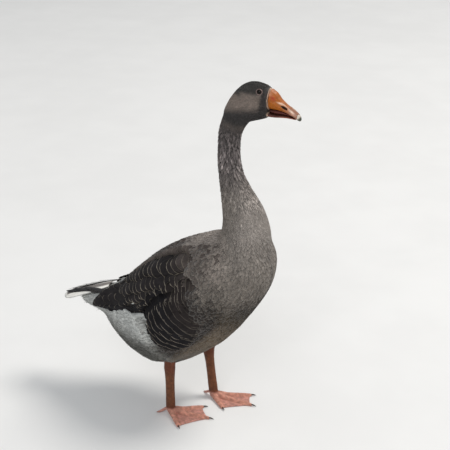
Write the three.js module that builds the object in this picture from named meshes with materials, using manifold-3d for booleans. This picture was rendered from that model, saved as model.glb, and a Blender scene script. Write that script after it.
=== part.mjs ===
// A domestic goose, standing alert, as a life-size still model in millimetres.
// +X is forward, +Y is the bird's left and +Z is up.

import * as THREE from "three";
import { ParametricGeometry } from "three/addons/geometries/ParametricGeometry.js";
import { mergeVertices } from "three/addons/utils/BufferGeometryUtils.js";
import Module from "manifold-3d";

// Driving dimensions
const gap = 0.3; // clearance between two pieces that touch
const bodyCentre = { x: -45, z: 235 };
const bodyPitch = 24; // degrees, breast up
const billBase = { x: 112, z: 652 };
const billPitch = -22;
const eyeCentre = { x: 102, y: 13, z: 671.2 };
const eyeRadius = 6.2;
const nostril = { along: 33, up: 8.6, out: 8.6, long: 6.2, high: 1.5, deep: 3.4, tilt: 5 };
const nail = { along: 67, up: 1, long: 11, wide: 11, high: 14 };
const webThickness = 2.4;
const clawLength = 9;
const keel = 0.18; // how far the trunk narrows towards its underside
const sides = { right: -1, left: 1 }; // the side's sign along Y

// Where each heel stands, and where its hock sits above it
const legs = {
  right: { heel: [-67, -43], hock: [1.5, -4, 108], turn: 4 },
  left: { heel: [-17, 45], hock: [-12.5, 4, 102], turn: 2 },
};

// Toes of each foot, turned outward from the foot's own axis, in degrees and millimetres
const toes = {
  right: { inner: [-37, 68], middle: [-5, 81], outer: [50, 54] },
  left: { inner: [-44, 49], middle: [0, 85], outer: [26, 78] },
};

// Each row below is one ring of a smooth body; a first or last row with no size closes it.

// along the body, top, bottom, half width
const trunkRows = [
  [-186, 30, 30, 0],
  [-182, 42, 8, 22],
  [-170, 54, -24, 42],
  [-150, 61, -64, 58],
  [-124, 69, -101, 73],
  [-88, 82, -117, 86],
  [-45, 97, -115, 93],
  [0, 108, -106, 96],
  [45, 114, -93, 95],
  [90, 116, -71, 89],
  [130, 113, -46, 81],
  [162, 104, -24, 72],
  [182, 94, -5, 60],
  [193, 84, 12, 47],
  [198.5, 74, 28, 33],
  [201, 52, 52, 0],
];

// along the body, top, bottom, half width
const rumpRows = [
  [-120, 30, 30, 0],
  [-124, 56, 0, 40],
  [-150, 64, -2, 48],
  [-172, 65, 14, 46],
  [-196, 65, 31, 38],
  [-216, 66, 42, 29],
  [-230, 66, 52, 18],
  [-236, 61, 61, 0],
];

// along the body, top, bottom, half width
const tailRows = [
  [-150, 66, 66, 0],
  [-156, 69, 62, 16],
  [-185, 70.5, 63, 25],
  [-220, 71.5, 65, 31],
  [-248, 72.5, 67.5, 30],
  [-264, 72.5, 68.5, 21],
  [-273, 72, 69.5, 9],
  [-276, 71, 71, 0],
];

// The surface that the folded wing lies on: the trunk's, then over the rump.
const wingBedRows = [
  [-240, 74, 26, 28],
  [-205, 74, 8, 38],
  [-175, 73, -18, 51],
  [-150, 72, -56, 62],
  ...trunkRows.filter(([along]) => along > -125),
];

// along the body, top edge and bottom edge in degrees round the bed, thickness
const wingRows = [
  [148, 46, 42, 0],
  [140, 57, 31, 2.5],
  [118, 69, 17, 4.5],
  [92, 75, 16.5, 6],
  [60, 79, 20.5, 7.5],
  [25, 82, 24.5, 9],
  [-8, 84, 26, 10],
  [-32, 85, 20, 10.5],
  [-50, 85, 20.5, 10.5],
  [-86, 85, 28, 10],
  [-120, 84, 31, 8.5],
  [-142, 79, 28, 7.5],
  [-160, 66, 22, 7],
  [-176, 46, 14, 6],
  [-190, 26, 6, 5],
  [-196, 12, 9, 0],
];

const flankRows = [
  [-56, -5, -8, 0],
  [-52, 3, -17, 4],
  [-42, 12, -28, 7],
  [-22, 19.5, -38, 9],
  [8, 23.5, -43, 9],
  [44, 20.5, -38, 7.5],
  [78, 15.5, -27, 5],
  [104, 9, -12, 2],
  [112, 1, -3, 0],
];

// along the body, height, distance from the middle plane, half height, half width
const primaryRows = [
  [-140, 59, 29, 0, 0],
  [-146, 61, 28, 4, 6],
  [-175, 69.5, 20, 4.5, 7],
  [-205, 73.5, 13.5, 4.5, 5.5],
  [-240, 75, 9.5, 3.2, 3.8],
  [-264, 75, 6, 2, 2.4],
  [-273, 74.5, 5, 0, 0],
];

// x, z, pitch, half depth, half width, from inside the breast up into the head
const neckRows = [
  [58, 322, 90, 0, 0],
  [60, 330, 90, 34, 38],
  [66, 354, 90, 48, 58],
  [71, 380, 90, 46, 61],
  [72.5, 404, 90, 43, 56],
  [70.5, 428, 91, 38.5, 46],
  [64, 450, 94, 36.5, 37.5],
  [55, 472, 97, 31, 30],
  [46.5, 494, 97, 25.5, 25.5],
  [41, 515, 94, 22.5, 23],
  [38.5, 540, 91, 21, 21.5],
  [38.5, 566, 88, 21, 21],
  [41, 588, 80, 21.5, 20.5],
  [50, 611, 62, 22.5, 20],
  [64, 630, 46, 22, 19],
  [80, 641, 35, 0, 0],
];

// x, top, bottom, half width
const headRows = [
  [29, 620, 620, 0],
  [31, 629, 612, 9],
  [36, 639, 607, 15.5],
  [45, 655, 604, 20.5],
  [57, 670.5, 604.5, 23.5],
  [70, 680.5, 608, 25],
  [84, 684.5, 612.5, 25],
  [97, 684, 617, 23],
  [108, 681, 620.5, 19.5],
  [115, 678.5, 624.5, 17],
  [117.5, 677, 627, 15],
  [118, 654, 654, 0],
];

// along the bill, top, bottom, half width
const upperBillRows = [
  [-18, 6, 6, 0],
  [-16, 19, -6, 10],
  [-8, 24.5, -10.5, 14.4],
  [2, 24.5, -11, 15],
  [12, 22, -7.6, 14.6],
  [19, 16.4, -4.6, 14.2],
  [28, 12.8, -0.8, 13.8],
  [38, 10.6, 1.4, 13.2],
  [48, 8.6, 1.6, 12.4],
  [56, 6.8, 0.8, 11],
  [62, 4.8, -1.4, 8.4],
  [65.5, 2, -2.4, 4.4],
  [66.8, -0.6, -0.6, 0],
];

const lowerBillRows = [
  [-16, -16, -16, 0],
  [-13, -14, -20, 9],
  [0, -14, -22.5, 12.4],
  [10, -13.4, -22, 12.4],
  [20, -11.6, -19.2, 12],
  [30, -7, -14, 11.4],
  [40, -2.8, -8.8, 10.6],
  [50, -0.8, -4.8, 9],
  [57, -1, -3.6, 6],
  [60, -2, -2, 0],
];

const tongueRows = [
  [-10, -12.5, -12.5, 0],
  [-7, -9.5, -15, 8],
  [10, -7, -14, 9.4],
  [22, -2.5, -11, 9.6],
  [32, 1, -6.6, 9.2],
  [42, 2, -2.6, 8],
  [50, 1.6, -1, 5],
  [53, 0.2, 0.2, 0],
];

const wasm = await Module();
wasm.setup();

// A curve through rows of four or five values, read at a share of its length.
function rowsAt(rows) {
  const columns = rows[0].length;
  const first = new THREE.CatmullRomCurve3(
    rows.map((row) => new THREE.Vector3(row[0], row[1], row[2])),
    false,
    "catmullrom",
  );
  const rest = new THREE.CatmullRomCurve3(
    rows.map((row) => new THREE.Vector3(row[3], row[columns - 1], 0)),
    false,
    "catmullrom",
  );
  return (share) => {
    const a = first.getPoint(share);
    const b = rest.getPoint(share);
    return columns > 4 ? [a.x, a.y, a.z, b.x, b.y] : [a.x, a.y, a.z, b.x];
  };
}

// A squarish oval: the power is 1 for an ellipse, and less for flatter sides.
function oval(angle, power) {
  const bend = (value) => Math.sign(value) * Math.abs(value) ** power;
  return [bend(Math.cos(angle)), bend(Math.sin(angle))];
}

// A closed skin over rings, from ring(share) => (angle) => [x, y, z].
function skin(ring, around, along) {
  return new ParametricGeometry(
    (u, v, target) => target.set(...ring(v)((u % 1) * 2 * Math.PI)),
    around,
    along,
  );
}

// How much of its width a section keeps at a height from -1 to 1.
const narrowing = (up, above, below) =>
  1 - above * Math.max(0, up) - below * Math.max(0, -up) ** 2;

// A straight body of rows with along, top, bottom and half width.
function straight(
  rows,
  { around = 16, along = 14, grow = 0, power = 0.92, above = 0, below = 0 } = {},
) {
  const read = rowsAt(rows);
  const middle = (rows[0][0] + rows.at(-1)[0]) / 2;
  const reach = Math.abs(rows.at(-1)[0] - rows[0][0]) / 2;
  const ring = (share) => {
    const [x, top, bottom, wide] = read(share);
    const stretched = middle + (x - middle) * (1 + grow / reach);
    const half = (top - bottom) / 2;
    const swell = share > 0 && share < 1 ? grow : 0;
    return (angle) => {
      const [side, up] = oval(angle, power);
      const across = wide * narrowing(up, above, below) + swell;
      return [stretched, side * across, (top + bottom) / 2 + up * (half + swell)];
    };
  };
  return skin(ring, around, along);
}

// A bent body of rows with x, z, pitch, half depth and half width.
function bent(rows, { around = 10, along = 12, grow = 0 } = {}) {
  const read = rowsAt(rows);
  const ring = (share) => {
    const [x, z, pitch, deep, wide] = read(share);
    const lean = THREE.MathUtils.degToRad(pitch);
    const end = share === 0 ? -grow : share === 1 ? grow : 0;
    const swell = share > 0 && share < 1 ? grow : 0;
    return (angle) => {
      const depth = Math.sin(angle) * (deep + swell);
      return [
        x - Math.sin(lean) * depth + Math.cos(lean) * end,
        Math.cos(angle) * (wide + swell),
        z + Math.cos(lean) * depth + Math.sin(lean) * end,
      ];
    };
  };
  return skin(ring, around, along);
}

// A row's values at a place along it, where the rows run the way of rising places.
function rowAt(read, place) {
  let low = 0;
  let high = 1;
  for (let step = 0; step < 24; step++) {
    const middle = (low + high) / 2;
    if (read(middle)[0] < place) low = middle;
    else high = middle;
  }
  return read(low);
}

// A shell lying on the side of the body, of rows with along, two edge angles and thickness.
function shell(rows, side, { around = 12, along = 15, grow = 0 } = {}) {
  const readShell = rowsAt(rows);
  const readBed = rowsAt(wingBedRows);
  const ring = (share) => {
    const [x, top, bottom, thick] = readShell(share);
    const [, over, under, wide] = rowAt(readBed, x);
    const ends = share > 0 && share < 1 ? 1 : 0;
    return (angle) => {
      const across = (1 - Math.cos(angle)) / 2;
      const lift = Math.sin(angle) * side;
      const round = Math.abs(lift) ** 0.55;
      const swell = grow * ends;
      const offset = lift > 0 ? (thick + swell) * round : -(4 * ends + swell) * round;
      const edge = swell * 0.6 * (2 * across - 1);
      const turn = THREE.MathUtils.degToRad(bottom + (top - bottom) * across + edge);
      const out = wide * narrowing(Math.sin(turn), 0, keel) + offset;
      return [
        x,
        side * out * Math.cos(turn),
        (over + under) / 2 + ((over - under) / 2 + offset) * Math.sin(turn),
      ];
    };
  };
  return skin(ring, around, along);
}

// A flat feather blade standing off the middle plane, of primary rows.
function blade(rows, side, { around = 8, along = 7, grow = 0 } = {}) {
  const read = rowsAt(rows);
  const ring = (share) => {
    const [x, height, out, high, wide] = read(share);
    const swell = share > 0 && share < 1 ? grow : 0;
    return (angle) => [
      x,
      side * out + Math.cos(angle) * (wide + swell),
      height + Math.sin(angle) * (high + swell),
    ];
  };
  return skin(ring, around, along);
}

// The solid that a mesh fills, in the goose's own frame.
function solidOf(mesh) {
  mesh.updateWorldMatrix(true, false);
  const geometry = mesh.geometry.clone().applyMatrix4(mesh.matrixWorld);
  geometry.deleteAttribute("normal");
  geometry.deleteAttribute("uv");
  const merged = mergeVertices(geometry, 1e-3);
  const corners = [...merged.index.array];
  const kept = [];
  for (let i = 0; i < corners.length; i += 3) {
    const [a, b, c] = corners.slice(i, i + 3);
    if (a !== b && b !== c && c !== a) kept.push(a, b, c);
  }
  const made = (triangles) =>
    new wasm.Manifold(
      new wasm.Mesh({
        numProp: 3,
        vertProperties: merged.attributes.position.array,
        triVerts: new Uint32Array(triangles),
      }),
    );
  const solid = made(kept);
  return solid.volume() > 0 ? solid : made(kept.reverse());
}

// Puts a solid's surface back into a mesh, in the mesh's own place. Only the largest body stays.
function fill(mesh, solid) {
  mesh.updateWorldMatrix(true, false);
  const bodies = solid.decompose().sort((a, b) => b.volume() - a.volume());
  const { numProp, vertProperties, triVerts } = bodies[0].getMesh();
  const places = new Float32Array((vertProperties.length / numProp) * 3);
  for (let i = 0; i < places.length / 3; i++)
    places.set(vertProperties.subarray(i * numProp, i * numProp + 3), i * 3);
  mesh.geometry = new THREE.BufferGeometry()
    .setAttribute("position", new THREE.BufferAttribute(places, 3))
    .setIndex(new THREE.BufferAttribute(triVerts, 1))
    .applyMatrix4(mesh.matrixWorld.clone().invert());
  return mesh;
}

function cut(mesh, ...cutters) {
  return fill(
    mesh,
    cutters.reduce((solid, cutter) => solid.subtract(solidOf(cutter)), solidOf(mesh)),
  );
}

function join(mesh, ...others) {
  return fill(
    mesh,
    others.reduce((solid, other) => solid.add(solidOf(other)), solidOf(mesh)),
  );
}

// A big block whose top face is the plane through (x, z) with this pitch.
function blockUnder(parent, x, z, pitch, lift = 0) {
  const size = 900;
  const block = new THREE.Mesh(new THREE.BoxGeometry(size, size, size));
  const turn = new THREE.Group();
  turn.position.set(x, 0, z);
  turn.rotation.y = -THREE.MathUtils.degToRad(pitch);
  block.position.z = lift - size / 2;
  turn.add(block);
  parent.add(turn);
  turn.updateWorldMatrix(true, true);
  turn.removeFromParent();
  turn.updateMatrixWorld(true);
  return block;
}

const paint = (colour, roughness) =>
  new THREE.MeshStandardMaterial({ color: colour, roughness, metalness: 0 });
const materials = {
  breast: paint(0x81796f, 0.85),
  neck: paint(0x6b6463, 0.85),
  head: paint(0x5f5956, 0.8),
  wing: paint(0x393638, 0.75),
  flank: paint(0x4b4545, 0.8),
  white: paint(0xd9d7d0, 0.85),
  bill: paint(0xd8803a, 0.45),
  nail: paint(0xb9ada2, 0.4),
  tongue: paint(0x5e2a26, 0.5),
  eye: paint(0x1a1310, 0.1),
  leg: paint(0xc87960, 0.55),
  claw: paint(0x4a3f38, 0.45),
};

function piece(name, geometry, material, parent) {
  const mesh = new THREE.Mesh(geometry, material);
  mesh.name = name;
  parent.add(mesh);
  return mesh;
}

function spare(geometry, parent) {
  return piece("", geometry, materials.breast, parent);
}

const goose = new THREE.Group();
const body = new THREE.Group();
body.position.set(bodyCentre.x, 0, bodyCentre.z);
body.rotation.y = -THREE.MathUtils.degToRad(bodyPitch);
const bill = new THREE.Group();
bill.position.set(billBase.x, 0, billBase.z);
bill.rotation.y = -THREE.MathUtils.degToRad(billPitch);
goose.add(body, bill);

const trunkSkin = (grow = 0) => straight(trunkRows, { around: 20, along: 17, power: 1, below: keel, grow });
const neckSkin = (grow = 0) => bent(neckRows, { around: 16, along: 20, grow });
const flankSkin = (side, grow = 0) => shell(flankRows, side, { around: 10, along: 10, grow });
const headSkin = (grow = 0) => straight(headRows, { around: 14, along: 12, power: 0.86, grow });
const rumpSkin = (grow = 0) => straight(rumpRows, { around: 12, along: 7, grow });
const tailSkin = (grow = 0) => straight(tailRows, { around: 10, along: 8, power: 0.8, grow });
const upperBillSkin = (grow = 0) =>
  straight(upperBillRows, { around: 12, along: 13, power: 0.85, above: 0.32, grow });
const lowerBillSkin = (grow = 0) =>
  straight(lowerBillRows, { around: 10, along: 10, power: 0.8, grow });

// Trunk, neck and head are shaped as one body, then parted by thin cuts.
function makeTorso() {
  const trunk = spare(trunkSkin(), body);
  const neck = spare(neckSkin(), goose);
  const head = spare(headSkin(), goose);
  const whole = solidOf(trunk).add(solidOf(neck)).add(solidOf(head));
  [trunk, neck, head].forEach((mesh) => mesh.removeFromParent());
  const levels = [
    ["trunk", materials.breast, 408, 72, 0],
    ["neck_lower", materials.neck, 505, 43, 4],
    ["neck_upper", materials.neck, 606, 46, -24],
  ];
  let left = whole;
  for (const [name, material, z, x, pitch] of levels) {
    const below = solidOf(blockUnder(goose, x, z, pitch, -gap / 2));
    const above = solidOf(blockUnder(goose, x, z, pitch, gap / 2));
    fill(piece(name, trunk.geometry, material, goose), left.intersect(below));
    left = left.subtract(above);
  }
  fill(piece("head", head.geometry, materials.head, goose), left);
}

function makeTail() {
  const trunk = spare(trunkSkin(gap), body);
  const rump = piece("rump", rumpSkin(), materials.white, body);
  const wideRump = spare(rumpSkin(gap), body);
  const tail = piece("tail", tailSkin(), materials.white, body);
  cut(rump, trunk);
  cut(tail, trunk, wideRump);
  [trunk, wideRump].forEach((mesh) => mesh.removeFromParent());
}

function makeWings() {
  const trunk = spare(trunkSkin(gap), body);
  const neck = spare(neckSkin(gap), goose);
  const rump = spare(rumpSkin(gap), body);
  const tail = spare(tailSkin(gap), body);
  for (const [name, side] of Object.entries(sides)) {
    const wing = piece("wing_" + name, shell(wingRows, side), materials.wing, body);
    cut(wing, trunk, neck, rump, tail);
    const wideWing = spare(shell(wingRows, side, { grow: gap }), body);
    const primaries = piece(
      "primaries_" + name,
      blade(primaryRows, side),
      materials.wing,
      body,
    );
    cut(primaries, trunk, rump, tail, wideWing);
    const flank = piece("flank_" + name, flankSkin(side), materials.flank, body);
    cut(flank, trunk, wideWing);
    wideWing.removeFromParent();
  }
  [trunk, neck, rump, tail].forEach((mesh) => mesh.removeFromParent());
}

function makeBill() {
  const upper = piece("bill_upper", upperBillSkin(), materials.bill, bill);
  const lower = piece("bill_lower", lowerBillSkin(), materials.bill, bill);
  const tongue = piece(
    "tongue",
    straight(tongueRows, { around: 8, along: 7 }),
    materials.tongue,
    bill,
  );
  const tip = new THREE.SphereGeometry(1, 11, 7);
  const nailCutter = (grow) => {
    const mesh = spare(tip, bill);
    mesh.position.set(nail.along, 0, nail.up);
    mesh.scale.set(nail.long + grow, nail.wide + grow, nail.high + grow);
    return mesh;
  };
  const small = nailCutter(0);
  const large = nailCutter(gap);
  const nailPiece = piece("bill_nail", upper.geometry, materials.nail, bill);
  fill(nailPiece, solidOf(upper).intersect(solidOf(small)));
  const pits = Object.values(sides).map((side) => {
    const pit = spare(new THREE.SphereGeometry(1, 6, 5), bill);
    pit.position.set(nostril.along, side * nostril.out, nostril.up);
    pit.scale.set(nostril.long, nostril.deep, nostril.high);
    pit.rotation.y = THREE.MathUtils.degToRad(nostril.tilt);
    return pit;
  });
  cut(upper, large, ...pits);
  [small, large, ...pits].forEach((mesh) => mesh.removeFromParent());
  // The head closes round the root of the bill, and the tongue fills the gap between the jaws.
  const wideUpper = spare(upperBillSkin(gap), bill);
  const wideLower = spare(lowerBillSkin(gap), bill);
  const wideHead = spare(headSkin(gap), goose);
  cut(lower, wideUpper, wideHead);
  cut(upper, wideHead);
  cut(tongue, wideUpper, wideLower, wideHead);
  [wideUpper, wideLower, wideHead].forEach((mesh) => mesh.removeFromParent());
}

function makeEyes() {
  const head = goose.getObjectByName("head");
  for (const [name, side] of Object.entries(sides)) {
    const eye = piece("eye_" + name, new THREE.SphereGeometry(eyeRadius, 10, 7), materials.eye, goose);
    eye.position.set(eyeCentre.x, side * eyeCentre.y, eyeCentre.z);
    eye.rotation.x = Math.PI / 2;
    fill(eye, solidOf(eye));
    const socket = spare(new THREE.SphereGeometry(eyeRadius + gap, 10, 7), goose);
    socket.position.copy(eye.position);
    socket.rotation.copy(eye.rotation);
    cut(head, socket);
    socket.removeFromParent();
  }
}

// x, z, pitch, half depth, half width, from the heel up to the hock and the drumstick's end
function shankRows([hockX, , hockZ]) {
  return [
    [0, 9, 90, 0, 0],
    [0, 10, 90, 9.4, 7.8],
    [hockX * 0.1, 18, 90, 9.4, 7.8],
    [hockX * 0.3, 36, 90, 8.8, 7],
    [hockX * 0.6, 64, 90, 8.6, 6.8],
    [hockX * 0.85, 86, 90, 9.2, 7.4],
    [hockX, hockZ - 3, 90, 10.8, 9],
    [hockX + 1, hockZ + 8, 88, 10.4, 8.8],
    [hockX + 4, hockZ + 26, 80, 9.4, 8.2],
    [hockX + 4.6, hockZ + 30, 80, 0, 0],
  ];
}

function thighRows([hockX, , hockZ]) {
  return [
    [hockX + 20, hockZ + 86, 75, 0, 0],
    [hockX + 19, hockZ + 80, 75, 22, 18],
    [hockX + 14, hockZ + 56, 78, 28, 24],
    [hockX + 9, hockZ + 34, 80, 22, 19],
    [hockX + 4, hockZ + 26, 82, 17, 15],
    [hockX + 2, hockZ + 17, 84, 13, 11.6],
    [hockX + 1.9, hockZ + 16, 84, 0, 0],
  ];
}

// A toe as a tapering, jointed finger that starts at the heel and lies on the floor.
function toeGeometry(length, grow = 0) {
  const girth = [
    [-4, 8, 8, 0],
    [-2, 16, 0.5, 7.4],
    [0.14 * length, 14, -1, 7.2],
    [0.3 * length, 9.8, -1, 5.6],
    [0.48 * length, 9.4, -1, 5.4],
    [0.62 * length, 7.4, -1, 4.6],
    [0.76 * length, 7.8, -1, 4.8],
    [0.9 * length, 6.2, -1, 3.9],
    [0.985 * length, 5.2, -0.4, 2.8],
    [length, 2.4, 2.4, 0],
  ];
  return straight(girth, { around: 6, along: 8, power: 0.95, grow });
}

function clawGeometry(grow = 0) {
  const rows = [
    [-3, 3.1, 0, 0, 0],
    [-2.6, 3.1, 0, 1.6, 1.3],
    [0, 3.3, -4, 1.9, 1.6],
    [0.35 * clawLength, 3.1, -16, 1.6, 1.4],
    [0.75 * clawLength, 2.1, -30, 1, 0.9],
    [clawLength, 1, -38, 0, 0],
  ];
  return bent(rows, { around: 5, along: 5, grow });
}

// The web as a sheet with a hollow front edge between neighbouring toe tips.
function webShape(rays) {
  const tip = ([turn, length], share) => {
    const angle = THREE.MathUtils.degToRad(turn);
    return new THREE.Vector2(Math.cos(angle), Math.sin(angle)).multiplyScalar(length * share);
  };
  const shape = new THREE.Shape();
  shape.moveTo(-4, 0);
  const first = tip(rays[0], 0.93);
  shape.lineTo(first.x, first.y);
  for (let i = 0; i + 1 < rays.length; i++) {
    const next = tip(rays[i + 1], 0.95);
    const from = tip(rays[i], 1);
    const hollow = from.add(next).multiplyScalar(0.5 * 0.91);
    shape.quadraticCurveTo(hollow.x, hollow.y, next.x, next.y);
  }
  shape.closePath();
  return shape;
}

function makeLeg(name, side) {
  const { heel, hock, turn } = legs[name];
  const leg = new THREE.Group();
  leg.position.set(heel[0], heel[1], 0);
  goose.add(leg);
  // The leg stands on its heel and leans outward to the hock.
  const lean = new THREE.Group();
  lean.rotation.x = -Math.atan2(hock[1], hock[2]);
  leg.add(lean);
  const shank = piece(
    "shank_" + name,
    bent(shankRows(hock)),
    materials.leg,
    lean,
  );
  fill(shank, solidOf(shank));
  const paw = new THREE.Group();
  paw.rotation.z = THREE.MathUtils.degToRad(turn);
  leg.add(paw);
  // A toe turns outward from the foot's axis, which is to the bird's own side.
  const rays = Object.entries(toes[name]).map(([toe, [out, length]]) => [toe, out * side, length]);
  const web = new THREE.ExtrudeGeometry(webShape(rays.map(([, out, length]) => [out, length])), {
    depth: webThickness,
    bevelEnabled: false,
    curveSegments: 4,
  });
  const foot = piece("foot_" + name, web, materials.leg, paw);
  foot.position.z = 0.6;
  const parts = rays.map(([, out, length]) => {
    const toe = spare(toeGeometry(length), paw);
    toe.rotation.z = THREE.MathUtils.degToRad(out);
    return toe;
  });
  const knob = spare(new THREE.SphereGeometry(1, 7, 5), paw);
  knob.scale.set(9.6, 8.8, 9.5);
  knob.position.set(0.5, 0, 9);
  const hind = spare(bent([
    [-4, 13, 160, 0, 0],
    [-5, 13, 165, 4, 3.4],
    [-12, 8.6, 212, 3.4, 3],
    [-19, 3.8, 210, 3, 2.6],
    [-25, 1.5, 190, 2.4, 2.2],
    [-28, 1.2, 184, 1.4, 1.3],
    [-30, 0.8, 180, 0, 0],
  ], { around: 5, along: 5 }), paw);
  hind.rotation.z = THREE.MathUtils.degToRad(-side * 20);
  join(foot, ...parts, knob, hind);
  const floor = blockUnder(goose, 0, 0, 0);
  const socket = spare(bent(shankRows(hock), { grow: gap }), lean);
  cut(foot, floor, socket);
  for (const [toe, out, length] of rays) {
    const holder = new THREE.Group();
    holder.rotation.z = THREE.MathUtils.degToRad(out);
    paw.add(holder);
    const claw = piece("claw_" + toe + "_" + name, clawGeometry(), materials.claw, holder);
    claw.position.x = length - 1;
    fill(claw, solidOf(claw));
    const seat = spare(clawGeometry(gap), holder);
    seat.position.x = length - 1;
    cut(foot, seat);
    cut(claw, floor);
    seat.removeFromParent();
  }
  const thigh = piece(
    "thigh_" + name,
    bent(thighRows(hock), { around: 10, along: 7 }),
    materials.breast,
    lean,
  );
  const trunk = spare(trunkSkin(gap), body);
  const flank = spare(flankSkin(side, gap), body);
  cut(thigh, trunk, flank, socket);
  cut(shank, trunk);
  [...parts, knob, hind, socket, trunk, flank].forEach((mesh) => mesh.removeFromParent());
}

makeTorso();
makeTail();
makeWings();
makeBill();
makeEyes();
Object.entries(sides).forEach(([name, side]) => makeLeg(name, side));

// The origin is on the floor, under the middle of the model.
const box = new THREE.Box3().setFromObject(goose);
const centre = box.getCenter(new THREE.Vector3());
goose.position.set(-centre.x, -centre.y, -box.min.z);

export default goose;
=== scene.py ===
import math

import bpy
import numpy as np
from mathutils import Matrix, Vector
from mathutils.bvhtree import BVHTree
from mathutils.kdtree import KDTree


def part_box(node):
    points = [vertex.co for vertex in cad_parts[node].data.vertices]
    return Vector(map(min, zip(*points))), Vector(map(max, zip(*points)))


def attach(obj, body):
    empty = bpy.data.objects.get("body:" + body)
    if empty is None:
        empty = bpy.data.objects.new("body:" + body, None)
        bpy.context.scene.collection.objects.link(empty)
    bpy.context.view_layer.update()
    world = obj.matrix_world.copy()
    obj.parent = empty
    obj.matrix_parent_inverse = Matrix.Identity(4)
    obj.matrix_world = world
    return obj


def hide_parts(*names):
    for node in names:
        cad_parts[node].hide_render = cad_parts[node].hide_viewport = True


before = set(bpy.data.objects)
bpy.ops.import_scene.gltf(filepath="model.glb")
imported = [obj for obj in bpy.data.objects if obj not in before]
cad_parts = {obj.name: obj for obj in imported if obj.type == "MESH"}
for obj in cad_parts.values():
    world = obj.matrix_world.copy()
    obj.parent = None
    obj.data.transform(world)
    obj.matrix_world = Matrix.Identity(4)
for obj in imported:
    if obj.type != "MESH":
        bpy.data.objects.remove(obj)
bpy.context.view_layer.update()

# A grey farm goose, standing alert. +X is forward, +Y the bird's left, +Z up, all in metres.
# The goose's own sizes below are in millimetres, measured from the middle of its stance.
mm = 0.001
eyeLow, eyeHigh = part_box("eye_right")
originX = (eyeLow.x + eyeHigh.x) / 2 - 0.102
eyePlace = (102, 13, 671.2)  # the middle of the left eyeball
bodyFrame = {"x": -45, "z": 235, "pitch": math.radians(24)}
billFrame = {"x": 112, "z": 652, "pitch": math.radians(-22)}
sides = {"right": -1, "left": 1}


def spot(x, y, z):
    return np.array([x * mm + originX, y * mm, z * mm])


def eyeMiddle(side):
    x, y, z = eyePlace
    return spot(x, side * y, z)


def fromFrame(place, along, out, up):
    c, s = math.cos(place["pitch"]), math.sin(place["pitch"])
    along, out, up = np.broadcast_arrays(along, out, up)
    x = place["x"] + along * c - up * s
    z = place["z"] + along * s + up * c
    return np.stack([x * mm + originX, out * mm, z * mm], axis=-1)


def toFrame(place, points):
    c, s = math.cos(place["pitch"]), math.sin(place["pitch"])
    x = (points[..., 0] - originX) / mm - place["x"]
    z = points[..., 2] / mm - place["z"]
    return x * c + z * s, points[..., 1] / mm, z * c - x * s


def birdCoords(points):
    return (points[..., 0] - originX) / mm, points[..., 1] / mm, points[..., 2] / mm


def paint(red, green, blue):
    channels = np.array([red, green, blue]) / 255
    return np.where(channels < 0.04045, channels / 12.92, ((channels + 0.055) / 1.055) ** 2.4)


def ease(low, high, value):
    share = np.clip((value - low) / (high - low), 0, 1)
    return share * share * (3 - 2 * share)


def blend(base, colour, mask):
    return base + (np.asarray(colour) - base) * np.asarray(mask)[..., None]


def washes(colours, base, *layers):  # a base colour, then each named colour by its share
    tint = np.tile(colours[base], (len(layers[0][1]), 1))
    for name, share in layers:
        tint = blend(tint, colours[name], share)
    return tint


def ripple(points, size, seed, layers=16):  # soft noise of about unit strength
    rng = np.random.default_rng(seed)
    waves = rng.normal(size=(layers, 3))
    waves /= np.linalg.norm(waves, axis=1)[:, None]
    waves *= 2 * math.pi / (size * mm) * rng.uniform(0.6, 1.6, (layers, 1))
    starts = rng.uniform(0, 2 * math.pi, layers)
    return np.sin(points @ waves.T + starts).sum(-1) / math.sqrt(layers / 2)


def deselect():
    for item in list(bpy.context.selected_objects):
        item.select_set(False)


def activate(piece):
    deselect()
    piece.select_set(True)
    bpy.context.view_layer.objects.active = piece


def copyOf(name, nodes):  # one new mesh from copies of frame nodes, with its doubles merged
    deselect()
    made = []
    for node in nodes:
        twin = bpy.data.objects.new(name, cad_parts[node].data.copy())
        bpy.context.collection.objects.link(twin)
        twin.select_set(True)
        made.append(twin)
    bpy.context.view_layer.objects.active = made[0]
    if len(made) > 1:
        bpy.ops.object.join()
    piece = bpy.context.view_layer.objects.active
    piece.name = name
    piece.data.name = name
    piece.data.materials.clear()
    bpy.ops.object.mode_set(mode="EDIT")
    bpy.ops.mesh.select_all(action="SELECT")
    bpy.ops.mesh.remove_doubles(threshold=0.00002)
    bpy.ops.object.mode_set(mode="OBJECT")
    return piece


def modify(piece, kind, **settings):  # adds a modifier and applies it
    activate(piece)
    modifier = piece.modifiers.new(kind.title(), kind)
    for key, value in settings.items():
        setattr(modifier, key, value)
    bpy.ops.object.modifier_apply(modifier=modifier.name)


def readVectors(rows, label):
    values = np.empty(len(rows) * 3)
    rows.foreach_get(label, values)
    return values.reshape(-1, 3)


def vertexPlaces(piece):
    return readVectors(piece.data.vertices, "co")


def vertexNormals(piece):
    return readVectors(piece.data.vertex_normals, "vector")


def moveVertices(piece, places):
    piece.data.vertices.foreach_set("co", places.astype(np.float32).ravel())
    piece.data.update()


def smoothBy(piece, turns, share=None):  # evens a surface out, more where the share is high
    group = None
    if share is not None:
        group = piece.vertex_groups.new(name="even")
        weights = np.clip(share(vertexPlaces(piece)), 0, 1)
        for level in np.unique(np.round(weights, 1)):
            chosen = np.flatnonzero(np.round(weights, 1) == level)
            group.add(chosen.tolist(), float(level), "REPLACE")
    modify(piece, "SMOOTH", factor=0.5, iterations=turns, vertex_group=group.name if group else "")
    if group:
        piece.vertex_groups.clear()


def voxelCopy(name, nodes, voxel, turns):  # an even mesh over copies of frame nodes
    piece = copyOf(name, nodes)
    modify(piece, "REMESH", mode="VOXEL", voxel_size=voxel * mm)
    smoothBy(piece, turns)
    return piece


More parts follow.
